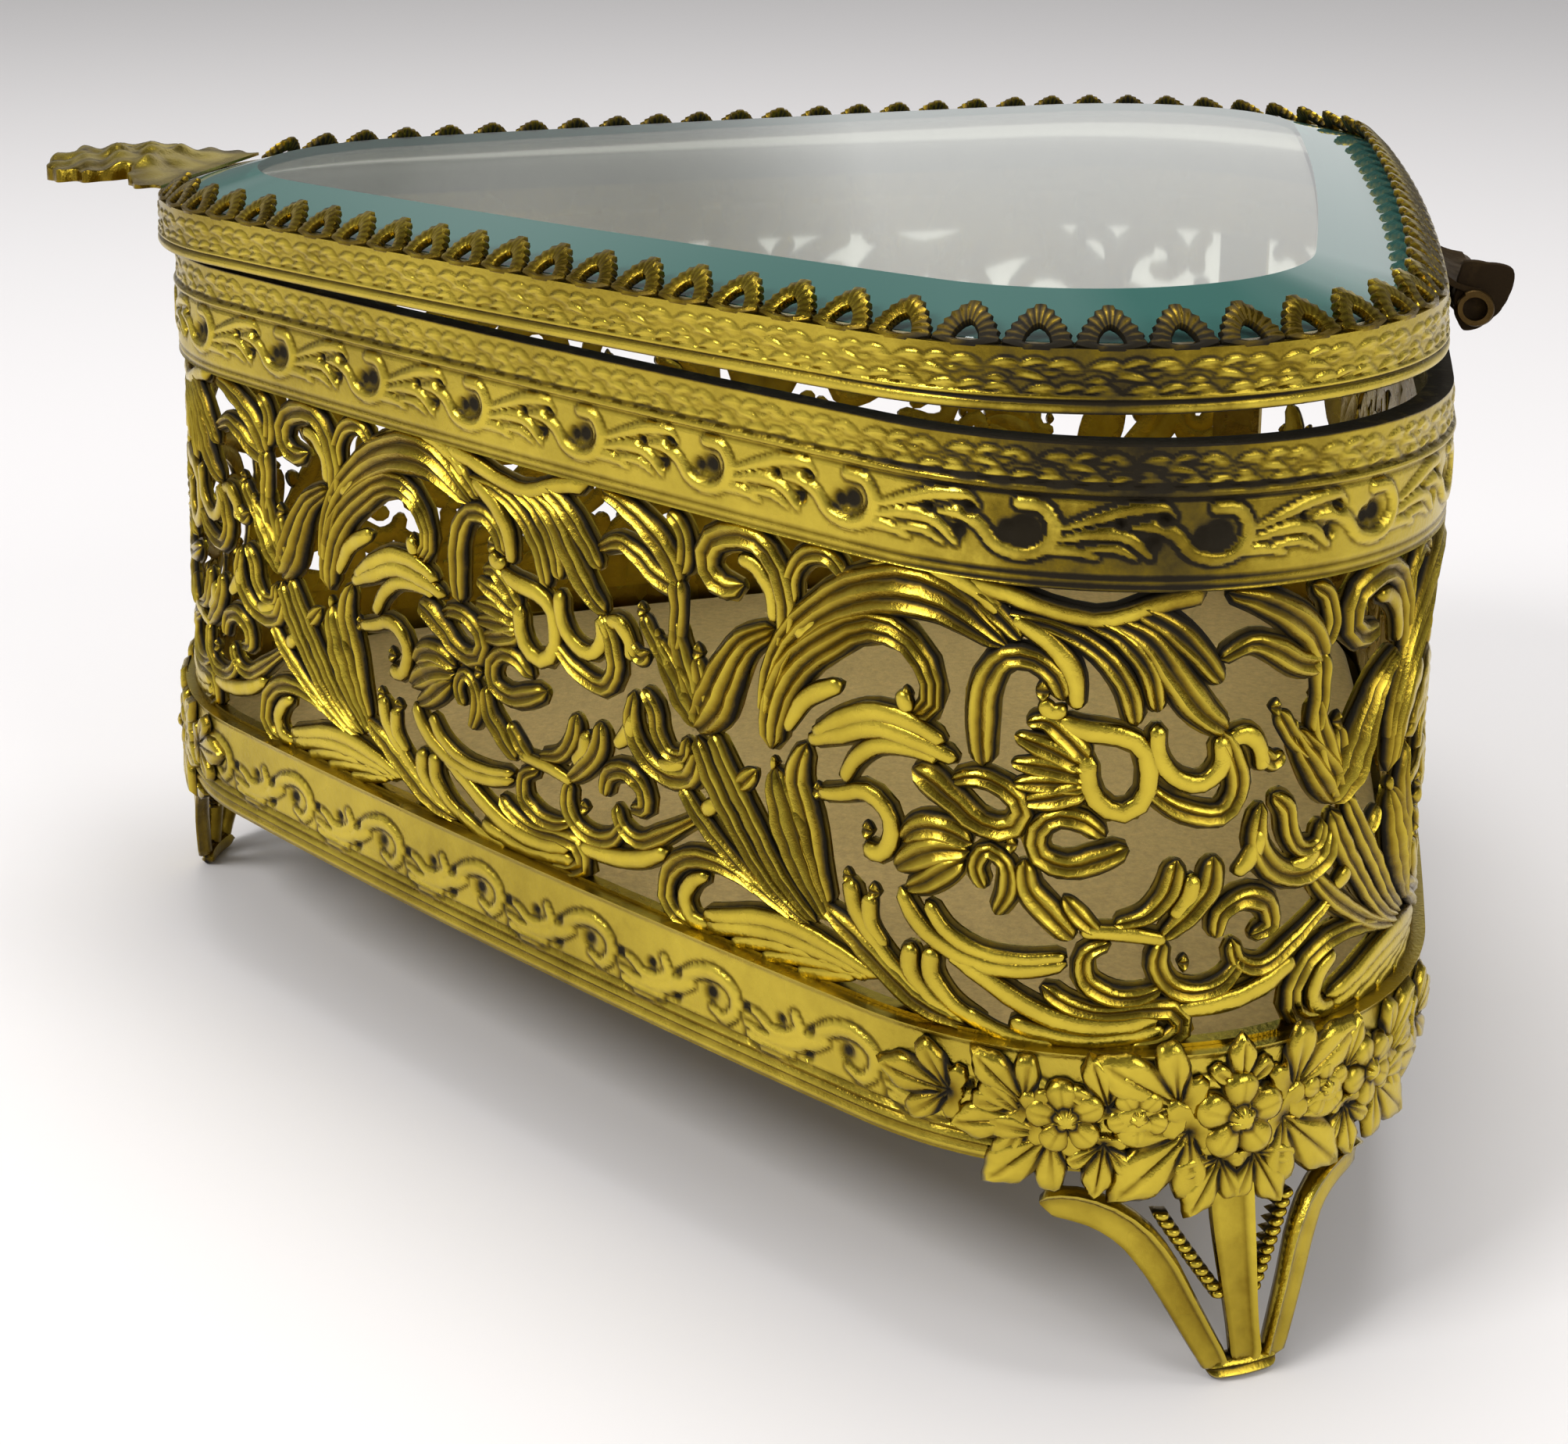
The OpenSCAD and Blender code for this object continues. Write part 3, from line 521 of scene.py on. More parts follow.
# Arguments: lit gold, painted shade and tarnish, painted deep shade and stain, roughness.
GILT = shaded_antiqued_gilt("shaded_antiqued_gilt", (0.61, 0.465, 0.05), (0.2, 0.13, 0.012), (0.01, 0.007, 0.002), 0.23)
BAND_GILT = shaded_antiqued_gilt("band_gilt", (0.59, 0.45, 0.055), (0.21, 0.145, 0.014), (0.012, 0.008, 0.002), 0.25)
# Very dark brass: the hinge's own dark metal, made darker still as painted shade under the lid.
SHADED_BRASS = shaded_antiqued_gilt("shaded_dark_brass", (0.16, 0.1, 0.03), (0.09, 0.055, 0.018), (0.022, 0.013, 0.005),
                          0.45, low_metallic=0.35)
WORN_BRASS = shaded_antiqued_gilt("worn_brass", (0.42, 0.31, 0.06), (0.18, 0.125, 0.02), (0.02, 0.013, 0.003),
                           0.3, lift=0.5)

# Coats: a material with its body and slot.
WALL_GILT = (GILT, "casket", "gilt")
LID_GILT = (GILT, "lid", "gilt")
WALL_BAND = (BAND_GILT, "casket", "gilt")
LID_BAND = (BAND_GILT, "lid", "gilt")
WALL_BRASS = (SHADED_BRASS, "casket", "old_gilt")
LID_BRASS = (SHADED_BRASS, "lid", "old_gilt")
PILE = (velvet(), "casket", "velvet")
GLASS = (clear_glass(), "lid", "bevelled_glass")

# Scrollwork of the openwork: one repeat, as strokes of (along, up, width), drawn from DRAWN_AT on.
REPEAT = 52.0
DRAWN_AT = 83.0
STARTS_AT = 31.0
JOINT_AT = 2 * THIRD
END_GAP = 0.5
WIDER, WIDER_BY = 1.16, 0.1
BIG_SCROLL = [
    [(98.2, 30.9, 1), (101, 29.6, 1.9), (104, 27.8, 2), (107, 26.1, 1.8), (110.5, 25.3, 1)],
    [(99, 29.8, 0.8), (96.8, 33, 2.6), (95, 36.6, 3.2), (93.6, 40.3, 1.6)],
    [(98.8, 31, 0.9), (97.6, 34, 1.8), (96.8, 37, 2.2), (95.7, 40.4, 2), (96.5, 42.9, 1)],
    [(93.2, 41.6, 1.8), (93.6, 45, 2.4), (95.4, 48.6, 2.6), (98.6, 51.4, 2.4), (102, 53.3, 2.2),
     (105, 53, 2), (107, 50.8, 1.7), (107.1, 48.4, 1.5), (105.7, 47.4, 1.3)],
    [(92.8, 43.6, 1.4), (93.2, 47, 1.9), (94.8, 50.6, 2.1), (97.6, 53.4, 2.6), (101.2, 55.6, 3.2),
     (105.4, 56.7, 3.6), (109, 56, 3), (111.2, 54.6, 1.9), (112.8, 53.6, 0.9)],
    [(99.6, 56.4, 0.5), (103, 57.8, 0.9), (106.6, 58.4, 1.1), (110, 57.6, 1.3), (112.4, 56, 0.9)],
    [(95.2, 51.9, 1.1), (96.2, 51.4, 1.2), (97.4, 52.6, 0.8)],
    [(94.6, 43.4, 0.8), (96.4, 46.3, 1.3), (99.6, 48.3, 1.1)],
]
CORNER_CURL = [
    [(94.1, 49.2, 1), (94.6, 52, 1.7), (94, 55, 1.9), (92.2, 57.1, 1.9), (89.4, 57.3, 2.1), (87.1, 56, 2.1),
     (87, 54, 2), (88.8, 53, 1.7), (90.4, 53.6, 1.1)],
    [(93.4, 51.4, 0.7), (92.9, 54, 1), (91.4, 55.4, 1.1), (89.9, 55.6, 0.7)],
    knob(91.3, 55.4, 0.7),
    [(95.2, 53.2, 1), (95, 55.4, 1.3), (96.3, 57.2, 1.4), (98.3, 57.5, 1.4), (99.9, 56.2, 1)],
]
TREFOIL = [
    [(83.7, 46.8, 1.4), (84.1, 50, 1.6), (83.9, 52.8, 1.9)],
    [(84.2, 52.2, 1.6), (83, 54.3, 2.2), (81, 55.9, 2.1), (78.4, 57.2, 1.6), (76, 57.9, 0.9)],
    [(84.3, 53, 1.4), (84.8, 55.2, 1.5), (84.1, 57, 1.3), (82.9, 57.7, 1)],
    [(84.2, 51.8, 1.5), (82, 52.3, 1.8), (80, 53.5, 1.7), (78, 54.2, 1.3), (75.6, 53.2, 0.9)],
]
BUD = [
    [(85.8, 41.2, 2), (87.6, 43.6, 3.4), (88.9, 46.4, 3), (90.5, 49, 2.2), (93.4, 50.9, 1.2)],
    [(86.4, 41.4, 2), (84.6, 44, 2.8), (82.8, 46.2, 1.8), (81.9, 47.4, 1.1)],
    [(86.2, 42, 1.8), (85, 45.4, 2), (84, 48, 1.4), (83.8, 49.4, 1.1)],
    [(86.6, 43, 1.6), (86.3, 45.6, 1.6), (86, 47, 1.2)],
    [(83.6, 45.2, 1.2), (81.6, 47.2, 1.4), (80.4, 49, 1.2)],
    knob(80.2, 49.3, 0.75), knob(83.7, 49.7, 0.7), knob(81.9, 47.6, 0.6), knob(86, 47.3, 0.85),
    [(79, 46.4, 1), (80.2, 45.4, 1.4), (81, 46, 1)],
]
STEMS = [
    [(87.4, 41.4, 1.2), (89.2, 38.6, 1.6), (91.6, 35.4, 1.6), (94.2, 32, 1.4), (97.6, 29.3, 0.8)],
    [(85.9, 40.6, 1.2), (87.2, 38, 1.7), (89.4, 35, 1.5), (91.8, 32.2, 1.3), (94.4, 30.1, 1.1),
     (97, 28.9, 0.7)],
    [(84.3, 36.2, 1), (86.3, 34.2, 1.5), (89, 32.2, 1.4), (92, 30.4, 1.2), (96, 28.9, 0.7)],
    [(90, 37.6, 0.9), (91, 38.6, 1.5), (91.8, 39.5, 0.8)],
    [(86.6, 34.6, 0.7), (87.4, 35.3, 1.2), (88.2, 36, 0.7)],
]
TULIP = [
    [(79.4, 42.4, 0.9), (79.2, 39.6, 1.6), (80.8, 37.3, 1.8), (83.2, 36.5, 1.7), (85.4, 37.2, 1.7),
     (86.1, 39.4, 1.2)],
    [(80.3, 42.9, 0.9), (81.5, 41.8, 1.4), (82, 39.8, 1.4), (83.2, 38.4, 1.2), (84.6, 38.6, 1.1),
     (85, 40.2, 0.9)],
    [(81.8, 37.2, 0.8), (83.4, 37.4, 1.2), (84.8, 38.2, 0.8)],
]
FOOT_SCROLL = [
    [(92.6, 30, 0.8), (89.5, 30.8, 1.3), (86.8, 30.9, 1.5), (84.4, 30, 1.6), (83, 28.1, 1.6),
     (83, 26.4, 1.5), (84.2, 25.3, 1.4), (86.4, 25.1, 1.1)],
    [(87.2, 29.7, 0.7), (85.6, 28.6, 1.1), (84.9, 27, 1.2), (85.5, 25.8, 1.2), (87.4, 25.5, 1)],
    [(86.6, 26.3, 0.9), (89, 26.9, 1.2), (92, 27.9, 1.3), (95.5, 28.3, 1.3), (99, 27.9, 1.2),
     (103.4, 26.9, 0.7)],
    [(87, 25.4, 1.1), (90, 26.4, 1.3), (94, 27.2, 1.3), (98, 27.2, 1.2), (103, 26.8, 0.6)],
    [(89.6, 25, 0.9), (92, 25.9, 1.1), (95.4, 26.6, 1.1), (99.4, 26.9, 0.8)],
    [(92.6, 24.9, 0.9), (95, 25.7, 1), (98.4, 26.4, 1), (102.4, 26.7, 0.6)],
    [(96, 24.9, 0.8), (98.2, 25.5, 1), (101.4, 26.4, 0.7)],
]
INNER_LEAVES = [
    [(97.1, 43.8, 0.8), (99.6, 45.6, 1.3), (102.6, 47, 1.3), (105.5, 47, 1.2), (108.4, 46, 0.8)],
    [(96.6, 43.2, 0.8), (99.5, 44.5, 1.3), (103, 45.9, 1.3), (106, 45.7, 1.2), (109.4, 44.9, 0.8)],
    [(99.9, 41, 0.8), (101, 43, 1.1), (102.8, 44.5, 1.1), (105.4, 45, 1), (108, 44.7, 0.7)],
    [(97.6, 39.4, 0.9), (100, 40.1, 1), (102, 40.8, 1.2), (103.9, 39.8, 1.2), (104.3, 38, 1.2),
     (103.3, 36.5, 1.2), (101.7, 36.6, 1)],
    knob(97.6, 39.6, 0.8), knob(102.1, 37.9, 0.85), knob(105.2, 48.9, 0.75), knob(93.5, 40.6, 0.6),
    [(105.6, 47.6, 1), (105.1, 48.6, 1.2), (105.3, 49.2, 0.8)],
]
ORCHID = [
    [(105.8, 43.6, 1.6), (107.4, 43, 2.2), (109.2, 41.9, 2), (111.4, 40.5, 1.7), (113.4, 40.6, 1.6),
     (114.1, 42, 1.5), (112.6, 43.6, 1.4), (110.4, 43.9, 1.2), (108.8, 43.2, 0.9)],
    [(110.6, 39, 1.2), (108.4, 39.6, 2), (106.4, 39.2, 1.8), (105.1, 38, 1)],
    [(110.4, 38.4, 1), (108, 38, 2.2), (106, 36.9, 2), (104.6, 35.8, 1)],
    [(110, 37.6, 1), (108.6, 36.6, 1.8), (107, 35.3, 1.6), (105.6, 34.5, 0.8)],
    [(111.6, 35.8, 0.9), (110.9, 37.4, 1.2), (111.7, 38.7, 1.1), (113, 38, 1.1), (113.3, 36.2, 1.4),
     (112.4, 34, 0.8)],
    [(120, 40.5, 1), (118.4, 41.6, 1.4), (116.6, 41.8, 1.4), (115.2, 40.6, 1.4), (115.3, 39, 1.5),
     (117.2, 38.2, 1.6), (119.4, 38.8, 1.7), (121.6, 39.8, 1.2)],
    [(118.6, 44, 1.6), (116.4, 43.2, 1.8), (114.2, 42.6, 0.9)],
    [(118.6, 44.2, 1.4), (116, 44.2, 1.6), (113.4, 43.9, 0.8)],
    [(118.6, 44.8, 1.4), (116, 45.3, 1.6), (113.2, 45.4, 0.8)],
    [(118.4, 45.4, 1.4), (116, 46.6, 1.7), (113.4, 47.4, 0.9)],
    [(118.6, 46, 1.6), (117, 47.6, 1.7), (115.6, 48.6, 1.2), (114.2, 48.4, 0.8)],
    [(114.4, 38.4, 1), (114.7, 36.4, 1.7), (116.2, 34.7, 1.8), (118, 32.9, 1.3)],
    [(117.2, 36, 1), (118.4, 34.6, 1.4), (119.8, 33.4, 1)],
    [(118.4, 33.5, 0.7), (121, 33.5, 0.9), (123, 33.3, 0.9), (124.6, 32.9, 0.8)],
    knob(113.4, 39.4, 0.8),
]
RINGS = [
    [(118.6, 46.6, 1.1), (118.6, 44.6, 1.2), (119.4, 43, 1.2), (121, 42.3, 1.2), (122.4, 43.2, 1.2),
     (122.8, 45.4, 1.2), (122.1, 47.3, 1.2), (120.4, 48, 1.3), (118.2, 48.2, 1.3), (116.2, 48.9, 0.9)],
    [(123.3, 48.8, 1), (123.4, 46.6, 1.1), (124.8, 44.8, 1.1), (126.8, 44.4, 1.1), (128.1, 45.8, 1.2),
     (127.8, 47.8, 1.1)],
    [(122.7, 44.2, 0.9), (124.4, 42.9, 1.3), (126.4, 42.1, 1.5), (128.3, 42, 1.5), (129.4, 43.6, 1.6),
     (129, 46, 1.5), (127.9, 48, 1.2)],
    [(128.4, 47.4, 0.9), (130, 47.6, 1.2), (131, 46.4, 1.1), (131.2, 44.8, 1)],
]
UPPER_ARCS = [
    [(109.4, 58, 1), (112.6, 57.5, 1.2), (116, 56.6, 1.1), (119.4, 56.2, 1.1), (122.8, 57.3, 1.2),
     (126.4, 58.1, 1.3)],
    [(112.4, 55.9, 0.7), (116, 55.4, 1.1), (119, 53.9, 1.4), (121.1, 51.3, 1.5), (121.8, 48.6, 1.2)],
    [(117.8, 56.2, 0.8), (120.5, 54.9, 1.3), (122.5, 52.6, 1.5), (123.3, 49.6, 1.2)],
    [(119.6, 56.3, 0.9), (122.4, 54.8, 1.7), (124.5, 52, 2.2), (126.4, 49.6, 2.1), (128.4, 48, 1.2)],
    [(121.4, 57, 1.1), (124, 55.6, 1.8), (126.1, 53.6, 1.7), (127.8, 51.5, 1.1)],
    [(109.8, 57.4, 1.2), (111.9, 56, 1.6), (113.7, 54.3, 0.9)],
]
LOOP = [
    [(111.2, 44.8, 1.4), (111, 48, 1.9), (111.3, 51, 1.9), (112.6, 52.9, 1.6), (114.6, 53, 1.5),
     (116.2, 51.8, 1.5), (116.8, 50.2, 1.2)],
    [(112.9, 55.8, 0.8), (115.4, 54.5, 1.2), (117.3, 52.3, 1.3), (117.7, 49.6, 0.8)],
    knob(115.3, 50.8, 0.95),
    [(115.2, 50.2, 0.9), (116, 49.3, 1.1), (117, 49.8, 0.8)],
]
HOOKS = [
    [(125.1, 38.8, 1.2), (124.6, 36.6, 1.5), (123.2, 34.9, 1.2), (120.8, 34.1, 0.7)],
    [(127.8, 38.9, 1.3), (127.6, 36.8, 1.7), (126.1, 34.8, 1.6), (124.2, 33.1, 1)],
    [(126.3, 37.8, 0.9), (126, 36, 1.3), (124.8, 34.6, 0.8)],
    [(124.4, 29.4, 0.8), (122.4, 28.7, 1.3), (120.4, 28.9, 1.5), (118.9, 30, 1.4), (118.9, 31.8, 1.1),
     (120.6, 32.8, 0.8)],
    [(124.3, 33, 1.1), (124, 31.1, 1.4), (125.1, 29.4, 1.4), (127.2, 28.9, 1.4), (129.2, 29.6, 1.3),
     (130.4, 31.2, 1.1)],
    knob(125.9, 31.2, 0.75),
    [(128.2, 32.8, 1), (128.6, 34.7, 1.4), (130.4, 35.6, 1.6), (132.3, 34.8, 1.6), (132.6, 33.2, 1.3),
     (131, 32.6, 0.9)],
    [(129.5, 32.6, 0.9), (130, 31, 1.2), (132, 30.2, 1.3), (134, 31.2, 1.4), (136.4, 32.8, 1),
     (138.4, 34.2, 0.7)],
    [(125.4, 27.7, 0.9), (129, 28, 1.3), (132.4, 28.9, 1.3), (135, 30.3, 0.9)],
    [(131.6, 40.6, 1), (130.6, 38.6, 1.2), (129.4, 37.4, 0.8)],
]
LOWER_SCROLL = [
    [(105, 34.4, 0.9), (106.6, 32.2, 1.2), (109, 30.8, 1.1), (112, 30.1, 1.1), (115, 30.3, 1),
     (117.6, 31, 0.7)],
    [(107.2, 34, 0.8), (108.8, 32.1, 1), (111.2, 31.1, 0.9), (114.4, 31, 0.8), (117.6, 31.6, 0.6)],
    [(106.2, 30.5, 1.1), (106, 28.8, 1.3), (107.4, 27, 1.1), (110, 25.7, 0.8)],
    [(107.8, 30.6, 1.1), (107.7, 28.8, 1.3), (109, 27.1, 1.1), (112, 25.5, 0.8)],
    [(108.8, 30.6, 0.8), (111.8, 29.2, 1.2), (114.4, 27.8, 1.3), (117.4, 26.7, 1.3), (121, 26.5, 1.2),
     (124.4, 27.3, 1)],
    [(100.6, 33.8, 1.1), (101.2, 31.8, 1.3), (103, 29.7, 1.2), (105.5, 27.7, 1.1), (108.4, 26, 0.7)],
    [(102.6, 33.2, 1.1), (102.5, 31.4, 1.2), (104, 29.4, 0.9)],
    knob(102.8, 33.4, 0.85), knob(100.4, 33.9, 0.7),
    [(115.9, 29.2, 1.2), (117.5, 28.1, 1.3), (120, 27.5, 1.1), (123, 27.8, 1.3), (125.4, 27.6, 1.7),
     (126, 26.4, 1.6), (124.8, 25.4, 1.3), (122, 25, 0.7)],
    [(113.6, 26.2, 1.1), (116, 25.7, 1.1), (119, 25.4, 1), (122.5, 25.9, 1), (124.8, 26.3, 0.8)],
    [(110.4, 26.4, 0.8), (113.4, 25.2, 1.1), (117, 24.9, 0.8)],
]
ONE_REPEAT = (BIG_SCROLL + CORNER_CURL + TREFOIL + BUD + STEMS + TULIP + FOOT_SCROLL + INNER_LEAVES + ORCHID
              + RINGS + UPPER_ARCS + LOOP + HOOKS + LOWER_SCROLL)


def openwork():
    """The repeat's strokes, carried round the wall from end to end of the strip, over a painted shadow web."""
    first, last = JOINT_AT - GIRTH, JOINT_AT
    shares = {"right": [], "left": [], "back": []}
    for copy in range(floor((first - STARTS_AT) / REPEAT) - 1, ceil((last - STARTS_AT) / REPEAT) + 1):
        move = STARTS_AT + REPEAT * copy - DRAWN_AT
        for path in ONE_REPEAT:
            moved = [(p[0] + move, p[1], WIDER * p[2] + WIDER_BY) for p in path]
            low, high = min(p[0] for p in moved), max(p[0] for p in moved)
            if low > first + END_GAP and high < last - END_GAP:
                middle = (low + high) / 2
                shares["left" if middle < 0 else ("right" if middle < THIRD else "back")].append(moved)
    for side, paths in shares.items():
        half = len(paths) // 2
        for letter, share in (("a", paths[:half]), ("b", paths[half:])):
            strokes("openwork_scrolls_" + side + "_" + letter, share, "filigree_wall",
                    mid=WALL_OUT - 0.42, thick=0.5, swell=0.2, waver=0.035)
        longer = [path for path in paths if len(path) > 3]
        shadow_webs("openwork_shadow_web_" + side, longer, "filigree_wall", front=WALL_OUT - 0.5, back=WALL_IN, wider=0.3)


def openwork_selvedges():
    """Plain edges of the openwork strip, rings of square section behind the base band and the frieze."""
    for name, low, high in (("openwork_lower_edge", OPENWORK - 3.5, OPENWORK + 0.3),
                            ("openwork_upper_edge", FRIEZE - 0.3, FRIEZE + 3.5)):
        square_ring(name, round_wall, low, high, WALL_OUT, WALL_IN, WALL_GILT, "filigree_wall", 0.6)


# Stamped bands
MOTIF_DRAWN = 13.0
MOTIFS = round(GIRTH / MOTIF_DRAWN)
MOTIF = GIRTH / MOTIFS
NEIGHBOURS = (-MOTIF_DRAWN, 0, MOTIF_DRAWN)
FACE = STRIP / 2
LEDGE_T = 0.7
BASE_LEDGE, RIM_LEDGE, LID_LEDGE = 2.7, 1.3, 3.1
RIDGED_H, RIDGE_STEP = 2.9, 0.8
BEAD_R = 0.32


def stamped(along, up, paths, gain):
    """Height of stamped strokes: each is a half ellipse of its width, and the highest one shows."""
    height = np.zeros(np.broadcast(along, up).shape)
    for path in paths:
        curve, _, _ = flowing(path, 22)
        a, b = curve[:-1], curve[1:]
        dx, dy = b[:, 0] - a[:, 0], b[:, 1] - a[:, 1]
        for shift in NEIGHBOURS:
            px = along[..., None] - a[:, 0] - shift
            py = up[..., None] - a[:, 1]
            f = np.clip((px * dx + py * dy) / (dx * dx + dy * dy), 0, 1)
            half = np.maximum((a[:, 2] + f * (b[:, 2] - a[:, 2])) / 2, 0.05)
            ridge = half * dome(np.hypot(px - f * dx, py - f * dy), half)
            height = np.maximum(height, ridge.max(-1) * gain)
    return height


def pitted(along, up, pits):
    """Sunken dots, each a smooth bell of its radius."""
    low = np.zeros(np.broadcast(along, up).shape)
    for x, y, r in pits:
        for shift in NEIGHBOURS:
            low = np.maximum(low, np.exp(-(((along - x - shift) / r) ** 2 + ((up - y) / r) ** 2) ** 1.5))
    return low


def one_motif(rows, start, columns, paths, pits, gain, depth=0.35, ground=0.85, halo=0.7, shadow=0.7):
    """Relief and brightness over one motif: bright strokes, a dark halo of painted shadow, a duller ground."""
    up = np.array(rows)[None, :, 1]
    along = start + np.arange(columns)[:, None] * MOTIF_DRAWN / columns + 0 * up
    up = up + 0 * along
    raised = stamped(along, up, paths, gain)
    wide = stamped(along, up, [[(p[0], p[1], p[2] + halo) for p in path] for path in paths], 1.0)
    low = pitted(along, up, pits)
    # Painted light: raised strokes painted brighter, a painted shadow beside them, sunken pits painted dark.
    edge = np.clip(wide * 1.6, 0, 1) * np.clip(1 - raised / 0.12, 0, 1)
    bright = ground + (1 - ground) * np.clip(raised / 0.15, 0, 1) - shadow * edge - low * 0.9
    return raised - depth * low - 0.06 * edge, np.clip(bright, 0, 1)


def face_rows(low, high, count, out):
    """Rows of a band's face, evenly up from low to high at one distance out."""
    return [(out, z) for z in np.linspace(low, high, count)]


def moulded_band(name, rows, relief, shade, start, place, coat, node):
    """Ring of a closed section carried round the outline, repeating one motif's relief and shade."""
    columns = len(relief)
    turned = int(round(start / MOTIF * columns)) % columns
    relief, shade = (np.tile(np.roll(values, turned, axis=0), (MOTIFS, 1)) for values in (relief, shade))
    along = np.arange(len(relief)) * GIRTH / len(relief)
    outs, ups = np.array(rows).T
    points = place(along[:, None], ups + 0 * relief, outs + relief)
    add_piece(name, points, [grid_faces(*relief.shape)], coat, node, shade, sharp=60)


# Motifs of the bands: strokes of (along, up, width), and pits of (along, up, radius). The repeat starts at the
# place along that _AT gives. Up is the height on the box, or for RIM_LEAVES a height over the row's foot.
FRIEZE_AT = 90.5
FRIEZE_SCROLL = [
    [(100.6, 64.2, 0.9), (102.2, 64, 1), (102.9, 62.6, 1), (102.1, 61.1, 1), (100.4, 60.7, 1),
     (98.9, 61.2, 1), (98, 62.3, 1), (96.6, 63, 1), (95, 62.9, 0.5)],
    [(90.6, 62.7, 0.5), (93, 63.6, 0.9), (95, 64.2, 1), (97, 64.2, 0.8), (97.7, 63.7, 0.4)],
    [(90.4, 61.9, 0.6), (92.5, 62.4, 0.9), (94.4, 62.3, 0.9), (95.6, 61.6, 0.8), (96.2, 60.9, 0.5)],
    [(92, 61.3, 0.5), (94, 61.4, 0.7), (95.2, 60.8, 0.4)],
    [(88.8, 60.9, 0.5), (90.6, 61.2, 0.8), (92.6, 60.8, 0.5)],
]
FRIEZE_PITS = [(100.9, 62.4, 0.95), (99.9, 62.2, 0.7), (97.1, 63.5, 0.45), (96.4, 61.8, 0.5),
               (94.2, 63.1, 0.3)]
BASE_AT = 64.0
BASE_SCROLL = [
    [(69.6, 18.9, 0.6), (71.8, 20.4, 1.1), (73.6, 22, 1.2), (76, 22.6, 1.2), (77.7, 21.7, 1.1),
     (77.8, 20.2, 1), (76.8, 19.3, 0.9), (75.6, 19.7, 0.6)],
    [(70.6, 22, 0.8), (71, 21, 0.9), (70, 20.2, 0.9), (68.3, 20.1, 0.8), (67.2, 20.8, 0.7),
     (65.8, 21.1, 0.4)],
    [(73.4, 20.9, 0.8), (71.8, 20.1, 1.1), (70, 19.5, 1), (68, 19.3, 0.8), (66, 19.7, 0.5)],
    [(66.2, 19, 0.6), (68, 18.6, 0.9), (70.4, 18.7, 0.6)],
]
BASE_PITS = [(75.4, 20.9, 0.7), (69.2, 21.2, 0.5), (72.2, 21.4, 0.4), (71.9, 19.3, 0.45), (79, 21, 0.4)]
RIM_LEAVES = [
    [(0.4, 1.2, 0.3), (1.8, 1.9, 0.9), (3.6, 2.2, 0.8), (4.8, 1.7, 0.3)],
    [(1.6, 1.1, 0.3), (3, 1.2, 0.7), (4.6, 1, 0.3)],
    [(2.4, 2.9, 0.3), (3.8, 2.8, 0.6), (5.2, 2.9, 0.3)],
    [(4.6, 1.3, 0.4), (5.6, 2.1, 0.9), (7, 2.5, 0.8), (8.4, 2.2, 0.3)],
    [(5.6, 1, 0.3), (7, 1.3, 0.8), (8.6, 1, 0.3)],
    [(8, 1.2, 0.3), (9.2, 2, 0.9), (10.8, 2.3, 0.8), (12.2, 1.8, 0.3)],
    [(8.8, 3, 0.3), (10, 2.8, 0.5), (11.4, 2.9, 0.3)],
    [(9.8, 1, 0.3), (11.2, 1.3, 0.8), (12.8, 1, 0.3)],
    [(11.8, 2.8, 0.3), (12.9, 2.5, 0.7), (14, 2.7, 0.3)],
]


def fine_leaves(low, step):
    """Engraved leaves in three staggered rows at half the drawn size, the middle row turned the other way."""
    leaves = []
    for row, (shift, way) in enumerate(((0.0, 1), (1.9, -1), (4.1, 1))):
        for half in (0.0, MOTIF_DRAWN / 2):
            for path in RIM_LEAVES[::2] if row == 1 else RIM_LEAVES[1::2] + RIM_LEAVES[:1]:
                drawn = [(shift + half + way * p[0] / 2, low + step * row + 0.34 * (p[1] - 1.0), 0.62 * p[2])
                         for p in path]
                leaves.append(drawn[::way])
    return leaves


def frieze():
    """Frieze band: the stamped S scroll with its sunken eyes, a plain margin, and thin lines cut as bells."""
    rows = face_rows(FRIEZE, RIM, 34, FACE) + [(-FACE, RIM), (-FACE, FRIEZE)]
    relief, bright = one_motif(rows, FRIEZE_AT, 52, FRIEZE_SCROLL, FRIEZE_PITS, gain=0.6, depth=0.5, halo=0.6,
                               shadow=0.6)
    up = np.array(rows)[:, 1]
    lines = sum(bell(up - z, 0.14) for z in (FRIEZE + 0.25, FRIEZE + 0.85, RIM - 0.12))
    relief = relief - 0.16 * lines
    # Painted shade in the cut lines.
    bright = bright * (1 - 0.75 * lines)
    relief[:, [0, -2, -1]] = 0
    bright[:, -2:] = 0.5
    moulded_band("frieze_strip", rows, relief, bright, FRIEZE_AT, round_wall, WALL_BAND, "frieze_band")


